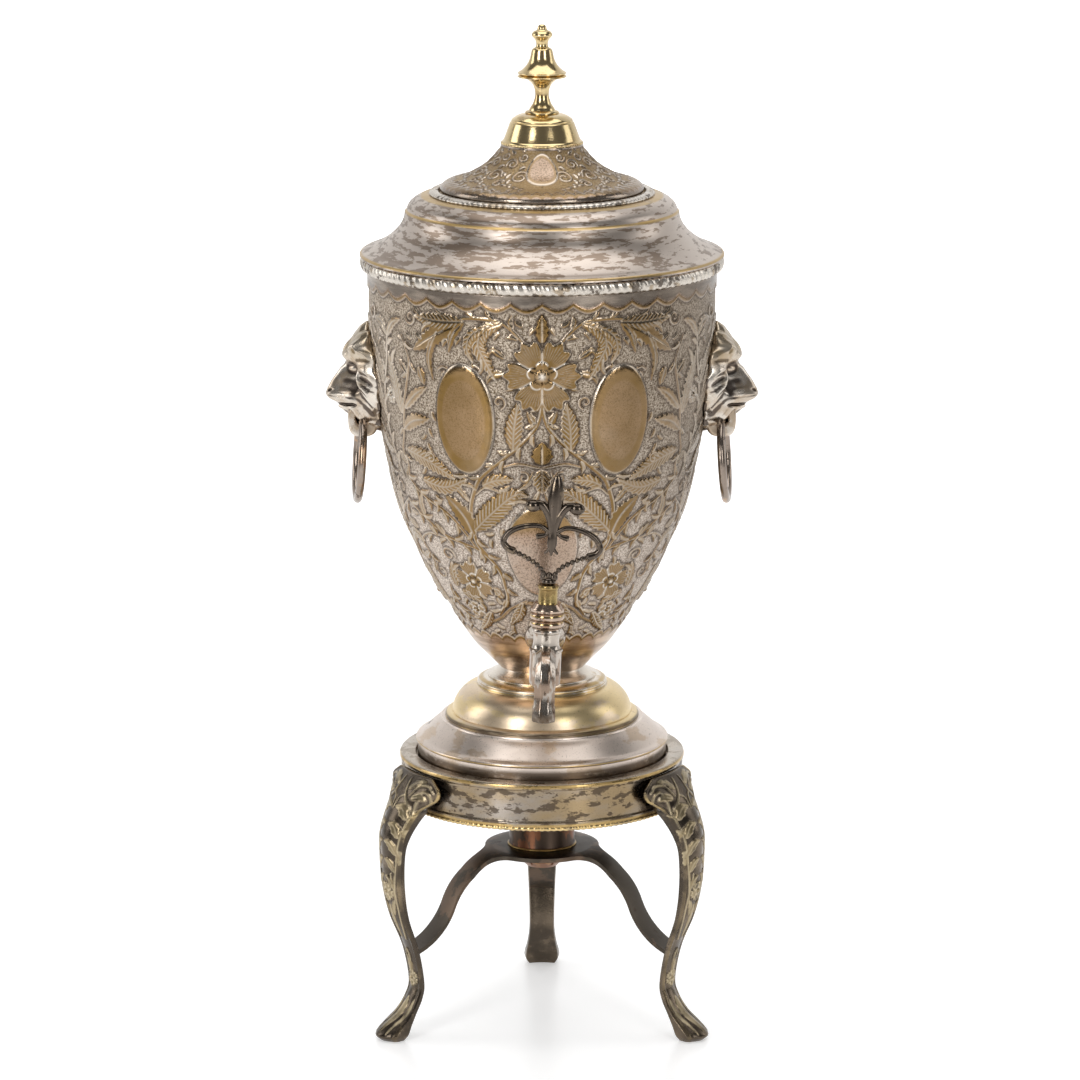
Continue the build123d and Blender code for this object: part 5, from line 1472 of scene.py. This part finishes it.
class URN_OT_stage(PieceOperator, bpy.types.Operator):
    """Sets the pale floor, the soft lamps and the camera"""

    bl_idname = "urn.stage"
    bl_label = "Stage, lamps and camera"

    def execute(self, context):
        stage = settings("urn_stage")
        scene = context.scene
        scene.view_settings.view_transform = "Standard"
        floor_paint = Paint("white_sweep")
        seen = floor_paint.add("ShaderNodeLightPath", {}, {}, "Is Camera Ray")
        place = {0: floor_paint.where()}
        far = floor_paint.add("ShaderNodeVectorMath", {"operation": "LENGTH"}, place, "Value")
        glow = floor_paint.mix(seen * far.step(0.8, 1.6), (1.0, 1.0, 1.0), (2.3, 2.3, 2.3))
        floor_paint.finish(
            Base_Color=(0.80, 0.80, 0.80), Roughness=0.30, Emission_Color=glow, Emission_Strength=0.41
        )
        half, back, rise, bend = 4.0, 2.2, 3.4, 0.9
        turns = [math.radians(90 * k / 12) for k in range(13)]
        profile = [(back - bend + bend * math.sin(turn), bend - bend * math.cos(turn)) for turn in turns]
        profile = [(-half, 0.0), *profile, (back, rise)]
        bm = bmesh.new()
        line = [bm.verts.new((-half, y, z)) for y, z in profile]
        edges = [bm.edges.new(pair) for pair in zip(line, line[1:])]
        wide = bmesh.ops.extrude_edge_only(bm, edges=edges)
        moved = [part for part in wide["geom"] if isinstance(part, bmesh.types.BMVert)]
        bmesh.ops.translate(bm, vec=(2 * half, 0, 0), verts=moved)
        bmesh.ops.recalc_face_normals(bm, faces=bm.faces)
        sweep = bpy.data.objects.new("white_sweep", to_mesh(bm, "white_sweep", smooth=True))
        scene.collection.objects.link(sweep)
        sweep.data.materials.append(floor_paint.material)

        world = bpy.data.worlds.new("studio")
        world.use_nodes = True
        background = world.node_tree.nodes["Background"]
        background.inputs["Color"].default_value = (1.0, 1.0, 1.0, 1.0)
        seen = world.node_tree.nodes.new("ShaderNodeLightPath")
        level = world.node_tree.nodes.new("ShaderNodeMapRange")
        level.inputs["To Min"].default_value = 0.13
        level.inputs["To Max"].default_value = 1.0
        world.node_tree.links.new(seen.outputs["Is Camera Ray"], level.inputs["Value"])
        world.node_tree.links.new(level.outputs["Result"], background.inputs["Strength"])
        scene.world = world

        # Name, place, size and share of the lamps' power
        lamps = (
            ("lamp_left", (-1.15, -1.75, 0.95), (0.55, 1.3), 1.1),
            ("lamp_right", (1.05, -1.85, 0.9), (0.5, 1.2), 0.62),
            ("lamp_top", (0.0, 0.1, 2.3), (2.2, 2.0), 1.9),
            ("lamp_side_left", (-1.9, 0.3, 0.9), (0.8, 1.4), 0.6),
            ("lamp_side_right", (1.9, 0.3, 0.9), (0.8, 1.4), 0.38),
        )
        for name, place, size, share in lamps:
            lamp = bpy.data.lights.new(name, "AREA")
            lamp.shape = "RECTANGLE"
            lamp.size, lamp.size_y = size
            lamp.energy = stage.lamp_power * share
            holder = bpy.data.objects.new(name, lamp)
            holder.location = place
            aim = Vector((0, 0, 0.25)) - Vector(place)
            holder.rotation_euler = aim.to_track_quat("-Z", "Y").to_euler()
            scene.collection.objects.link(holder)

        camera = bpy.data.cameras.new("camera")
        camera.sensor_width = 36.0
        camera.lens = stage.lens
        camera.clip_end = 50.0
        eye = bpy.data.objects.new("camera", camera)
        eye.location = (-1.0 * MM, -stage.camera_distance, stage.camera_height)
        eye.rotation_euler = (math.radians(90) - stage.camera_pitch, 0.0, 0.0)
        scene.collection.objects.link(eye)
        scene.camera = eye
        return {"FINISHED"}


class URN_OT_bowl(PieceOperator, bpy.types.Operator):
    """Makes the chased bowl, in panels, and its plain bottom"""

    bl_idname = "urn.bowl"
    bl_label = "Chased bowl"

    def execute(self, context):
        chasing = settings("urn_chasing")
        silver = chased_silver("chased_bowl", 1.05, 0.45)
        map_ = draw_bowl()
        panels = [(a, a + 30.0, chasing.front_columns) for a in range(-90, 90, 30)]
        panels += [(a, a + 45.0, chasing.front_columns * 2 // 3) for a in range(90, 270, 45)]
        for number, (first, last, columns) in enumerate(panels, 1):
            name = f"bowl_panel_{number:02d}"
            rows = chasing.rows if first < 90 else chasing.rows // 2
            mesh = chased_panel(
                name, map_, BOWL_WALL, first, last, columns, rows, chasing.relief, 1.2 * MM, 0.55
            )
            body_piece(mesh, name, "urn", "bowl", silver)
        outer = ((0.0, 176.0), [(11.0, 178.0), (21.4, 184.4)])
        inner = ((0.0, 177.2), [(10.6, 179.2), (20.6, 185.2)])
        turned_piece("bowl_bottom", outer, inner, "urn", "bowl", silver)
        return {"FINISHED"}


class URN_OT_rim_and_shoulder(PieceOperator, bpy.types.Operator):
    """Makes the rope-edged rim, the turned shoulder and the leaf ring round the opening"""

    bl_idname = "urn.rim_and_shoulder"
    bl_label = "Rim, shoulder and leaf ring"

    def execute(self, context):
        flutes = 132
        turns = np.linspace(0.12, math.pi - 0.12, 12)
        rim = [(88.6 + 2.0 * math.sin(turn), 390.3 - 3.3 * math.cos(turn)) for turn in turns]
        rim = [(85.6, 387.0), (88.8, 387.0), *rim, (88.4, 393.6), (85.6, 393.6)]
        silver = settings("urn_finish").silver
        rope = plated("rim_rope", silver, (0.38, 0.30, 0.21), 0.42, 0.45, 0.28, wear_size=8.0)
        swelled_ring(
            "rim_wire", rim, flutes * 7, 22,
            lambda azimuth, share: 0.26 * np.cos(np.radians(azimuth) * flutes + 11.0 * share) - 0.28,
            "urn", "rim_wire", rope,
        )
        shoulder = plated(
            "shoulder_plate", (0.56, 0.485, 0.425), (0.225, 0.165, 0.12), 0.55, 0.10, 0.36,
            wear_size=2.7, tarnish_size=9.0, stretch=(0.28, 0.28, 1.5), pits=0.15,
            brass_lines=((416.2, 0.9), (394.9, 0.8), (423.6, 0.7)),
        )
        turned_piece(
            "shoulder", SHOULDER_OUTER, SHOULDER_INNER, "urn", "shoulder", shoulder, 192
        )
        tips = 96
        leaf_section = (
            (51.4, 424.0), (56.1, 424.0), (56.0, 424.9), (55.2, 425.9), (53.6, 426.3), (51.4, 426.2),
        )
        swelled_ring(
            "leaf_ring", leaf_section, tips * 8, 16,
            lambda azimuth, share: 0.30 * np.abs(np.cos(np.radians(azimuth) * tips / 2)) ** 0.7 - 0.32,
            "urn", "leaf_ring", rope,
        )
        return {"FINISHED"}


class URN_OT_lid(PieceOperator, bpy.types.Operator):
    """Makes the chased lid, its polished cap, bead border and finial"""

    bl_idname = "urn.lid"
    bl_label = "Lid, cap and finial"

    def execute(self, context):
        silver = chased_silver("chased_lid", 0.75, 0.0, 0.74, 0.4)
        map_ = draw_lid()
        for number, first in enumerate(range(0, 360, 90), 1):
            name = f"lid_panel_{number}"
            mesh = chased_panel(
                name, map_, LID_WALL, first - 45, first + 45, 160, 104, 0.55 * MM, 1.0 * MM, 0.3
            )
            body_piece(mesh, name, "lid", "lid_shell", silver)
        polished = plated(
            "polished_brass", (0.72, 0.56, 0.30), (0.50, 0.35, 0.17), 0.35, 0.12, 0.17,
            wear_size=26.0, tarnish_size=5.0, pits=0.35,
        )
        turned_piece("lid_cap", CAP_OUTER, CAP_INNER, "lid", "lid_cap", polished, 192)
        beads = 64
        border = [(18.9, 448.9), (19.9, 448.8), (20.5, 449.3), (20.4, 450.0), (19.8, 450.3), (18.9, 450.2)]
        swelled_ring(
            "lid_bead_border", border, beads * 8, 12,
            lambda azimuth, share: 0.34 * np.abs(np.cos(np.radians(azimuth) * beads / 2)) - 0.34,
            "lid", None, polished,
        )
        turned_piece("finial", FINIAL_OUTER, (), "lid", "finial", polished, 128)
        return {"FINISHED"}


class URN_OT_foot(PieceOperator, bpy.types.Operator):
    """Makes the urn's foot: stepped neck, polished dome and ogee base"""

    bl_idname = "urn.foot"
    bl_label = "Foot"

    def execute(self, context):
        neck = plated(
            "foot_neck_plate", (0.76, 0.69, 0.60), (0.60, 0.48, 0.32), 0.45, 0.18, 0.25,
            brass_lines=((177.9, 0.7), (174.9, 0.6)),
        )
        dome = plated(
            "foot_dome_brass", (0.82, 0.645, 0.36), (0.72, 0.58, 0.43), 0.5, 0.14, 0.32,
            wear_size=30.0, tarnish_size=6.0, stretch=(0.4, 0.4, 1.0), pits=0.4,
            dark_lines=((158.9, 1.3),),
        )
        base = plated(
            "foot_base_plate", (0.77, 0.665, 0.585), (0.60, 0.47, 0.35), 0.45, 0.22, 0.30,
            wear_size=14.0, tarnish_size=6.0, stretch=(0.4, 0.4, 1.0), pits=0.6,
            brass_lines=((146.6, 0.7),), dark_lines=((141.5, 4.0),),
        )
        turned_piece("foot_neck", NECK_OUTER, NECK_INNER, "urn", "foot_neck", neck)
        turned_piece("foot_dome", DOME_OUTER, DOME_INNER, "urn", "foot_dome", dome, 192)
        turned_piece("foot_base", BASE_OUTER, BASE_INNER, "urn", "foot_base", base, 192)
        return {"FINISHED"}


class URN_OT_stand_ring(PieceOperator, bpy.types.Operator):
    """Makes the stand's ring with its patchy apron, and the bead wire under it"""

    bl_idname = "urn.stand_ring"
    bl_label = "Stand ring"

    def execute(self, context):
        ring = plated(
            "stand_ring_plate", (0.34, 0.30, 0.26), (0.33, 0.235, 0.12), 0.34, 0.60, 0.24, soft=0.26,
            wear_size=22.0, tarnish_size=5.0, stretch=(0.5, 0.5, 1.2), pits=0.5,
            brass_lines=((139.0, 1.6), (118.7, 1.0)), grey_above=139.6,
        )
        turned_piece("stand_ring", STAND_OUTER, STAND_INNER, "stand", "stand_ring", ring, 192)
        beads = 150
        turns = np.linspace(0.3, math.tau - 0.3, 14)
        wire = [(71.2 + 1.25 * math.sin(turn), 117.3 - 1.2 * math.cos(turn)) for turn in turns]
        bright = settings("urn_finish").bright_brass
        brass = plated("apron_brass", bright, (0.40, 0.30, 0.17), 0.45, 0.3, 0.24)
        swelled_ring(
            "apron_bead", wire, beads * 4, 14,
            lambda azimuth, share: 0.16 * np.cos(np.radians(azimuth) * beads) - 0.10,
            "stand", "apron_bead", brass,
        )
        return {"FINISHED"}


class URN_OT_legs(PieceOperator, bpy.types.Operator):
    """Makes the three cast legs with their acanthus stems"""

    bl_idname = "urn.legs"
    bl_label = "Legs"

    def execute(self, context):
        map_ = draw_leg()
        paint = leg_paint()
        for name, bearing, columns, rows in LEGS:
            mesh = leg_mesh(name, bearing, columns, rows, map_)
            body_piece(mesh, name, "stand", name, paint)
        return {"FINISHED"}


class URN_OT_burner(PieceOperator, bpy.types.Operator):
    """Makes the burner's cup and finishes the platform, nut, cover and wick"""

    bl_idname = "urn.burner"
    bl_label = "Burner and platform"

    def execute(self, context):
        cup = plated(
            "burner_brass", (0.085, 0.06, 0.045), (0.20, 0.085, 0.045), 0.42, 0.45, 0.34,
            wear_size=16.0, tarnish_size=9.0, stretch=(1.0, 1.0, 0.35),
            brass_lines=((121.4, 0.9), (90.6, 0.7)),
        )
        turned_piece("burner_cup", CUP_OUTER, CUP_INNER, "stand", "burner_cup", cup, 128)
        platform = plated(
            "platform_plate", (0.085, 0.07, 0.055), (0.15, 0.105, 0.075), 0.45, 0.30, 0.38, wear_size=26.0,
        )
        nut = plated("nut_brass", (0.24, 0.125, 0.075), (0.36, 0.20, 0.10), 0.4, 0.45, 0.32)
        worn = plated("worn_brass", (0.43, 0.31, 0.15), (0.30, 0.20, 0.10), 0.4, 0.35, 0.34)
        cotton = Paint("cotton")
        weave = cotton.bump(cotton.noise(0.8), 0.5, 0.4)
        cotton.finish(Base_Color=(0.46, 0.40, 0.31), Roughness=0.9, Normal=weave)
        for node, paint in (
            ("burner_platform", platform), ("burner_nut", nut), ("burner_cover", worn),
            ("wick", cotton.material),
        ):
            finish_node(node, paint)
        return {"FINISHED"}


class URN_OT_masks(PieceOperator, bpy.types.Operator):
    """Makes the lion masks with the lugs that hold the rings"""

    bl_idname = "urn.masks"
    bl_label = "Lion masks"

    def execute(self, context):
        paint = mask_paint()
        for name, hand in (("lion_mask_left", -1), ("lion_mask_right", 1)):
            body_piece(mask_mesh(name, hand), name, "urn", name, paint)
            body_piece(lug_mesh(name + "_lug", hand), name + "_lug", "urn", name, paint)
        return {"FINISHED"}


class URN_OT_rings(PieceOperator, bpy.types.Operator):
    """Makes the two loose ring handles"""

    bl_idname = "urn.rings"
    bl_label = "Ring handles"

    def execute(self, context):
        bronze = plated(
            "ring_bronze", (0.33, 0.27, 0.225), (0.44, 0.30, 0.20), 0.4, 0.4, 0.20,
            wear_size=12.0, tarnish_size=6.0,
        )
        for name, hand in (("ring_left", -1), ("ring_right", 1)):
            body_piece(ring_mesh(name, hand), name, "handle_" + name, name, bronze)
        return {"FINISHED"}


class URN_OT_tap(PieceOperator, bpy.types.Operator):
    """Makes the tap: inlet, barrel, spout, plug head and ferrule"""

    bl_idname = "urn.tap"
    bl_label = "Tap"

    def execute(self, context):
        silver = plated(
            "tap_plate", (0.52, 0.46, 0.40), (0.30, 0.21, 0.15), 0.50, 0.42, 0.19,
            wear_size=7.0, tarnish_size=4.0, stretch=(1.0, 1.0, 0.5), pits=0.2, dark_lines=((184.0, 8.0),),
        )
        collar = plated(
            "tap_collar", (0.48, 0.37, 0.29), (0.32, 0.19, 0.12), 0.5, 0.35, 0.17,
            wear_size=7.0, tarnish_size=5.0, brass_lines=((233.4, 0.6), (229.8, 0.5)),
        )
        brass = plated("ferrule_brass", (0.42, 0.31, 0.13), (0.28, 0.19, 0.08), 0.4, 0.25, 0.26)
        turned_piece(
            "tap_barrel", BARREL_OUTER, BARREL_INNER, "urn", "tap_body", silver, 96, TAP_LEAN
        )
        for mesh in (spout_mesh(), inlet_mesh()):
            body_piece(leaned(mesh, TAP_LEAN), mesh.name, "urn", "tap_body", silver)
        for name, outer, node, slot_name, paint, steps in (
            ("tap_plug_head", HEAD_OUTER, "tap_plug", "tap_silver", collar, 96),
            ("tap_plug_core", CORE_OUTER, "tap_plug", "tap_silver", brass, 48),
            ("key_ferrule", FERRULE_OUTER, "key_ferrule", "worn_brass", brass, 96),
        ):
            turned_piece(name, outer, (), "tap_turning", node, paint, steps, TAP_LEAN)
        steel = plated(
            "key_metal", (0.11, 0.088, 0.07), (0.22, 0.17, 0.12), 0.42, 0.35, 0.18,
            wear_size=5.0, tarnish_size=4.0, pits=0.0, brushed=0.0,
        )
        top = TAP_FOOT + Vector((math.sin(TAP_LEAN), 0.0, math.cos(TAP_LEAN))) * KEY_FOOT * MM
        key = leaned(joined_mesh("tap_key", key_meshes()), KEY_LEAN, top)
        body_piece(key, "tap_key", "tap_turning", "tap_key", steel)
        body_piece(rosette_mesh(), "tap_rosette", "urn", "tap_rosette", silver)
        for node in ("plug_washer", "plug_screw"):
            finish_node(node, silver)
        return {"FINISHED"}


class URN_OT_fixings(PieceOperator, bpy.types.Operator):
    """Finishes the hidden washers, nuts and the lid's bezel"""

    bl_idname = "urn.fixings"
    bl_label = "Hidden fixings"

    def execute(self, context):
        worn = plated("fixing_brass", (0.43, 0.31, 0.15), (0.30, 0.20, 0.10), 0.4, 0.35, 0.34)
        dull = plated("inner_silver", (0.50, 0.45, 0.38), (0.40, 0.30, 0.20), 0.4, 0.35, 0.36)
        for node in ("finial_nut", "mask_nuts", "mask_washers"):
            finish_node(node, worn)
        finish_node("lid_bezel", dull)
        return {"FINISHED"}


OPERATORS = (
    URN_OT_stage, URN_OT_bowl, URN_OT_rim_and_shoulder, URN_OT_lid, URN_OT_foot, URN_OT_stand_ring,
    URN_OT_legs, URN_OT_burner, URN_OT_masks, URN_OT_rings, URN_OT_tap, URN_OT_fixings,
)
SETTINGS = (("urn_chasing", ChasingSettings), ("urn_finish", FinishSettings), ("urn_stage", StageSettings))


class URN_PT_panel(bpy.types.Panel):
    """Lists the settings and one button for each group of pieces"""

    bl_idname = "URN_PT_panel"
    bl_label = "Tea urn"
    bl_space_type = "VIEW_3D"
    bl_region_type = "UI"
    bl_category = "Tea urn"

    def draw(self, context):
        layout = self.layout
        for name, group in SETTINGS:
            box = layout.box()
            box.label(text=group.__name__.replace("Settings", ""))
            for key in group.__annotations__:
                box.prop(settings(name), key)
        column = layout.column(align=True)
        for operator in OPERATORS:
            column.operator(operator.bl_idname, text=operator.bl_label)


def register():
    for name, group in SETTINGS:
        bpy.utils.register_class(group)
        setattr(bpy.types.Scene, name, PointerProperty(type=group))
    for operator in OPERATORS:
        bpy.utils.register_class(operator)
    bpy.utils.register_class(URN_PT_panel)


def unregister():
    bpy.utils.unregister_class(URN_PT_panel)
    for operator in reversed(OPERATORS):
        bpy.utils.unregister_class(operator)
    for name, group in reversed(SETTINGS):
        delattr(bpy.types.Scene, name)
        bpy.utils.unregister_class(group)


def main():
    register()
    for operator in OPERATORS:
        group, name = operator.bl_idname.split(".")
        getattr(getattr(bpy.ops, group), name)()


if __name__ == "__main__":
    main()
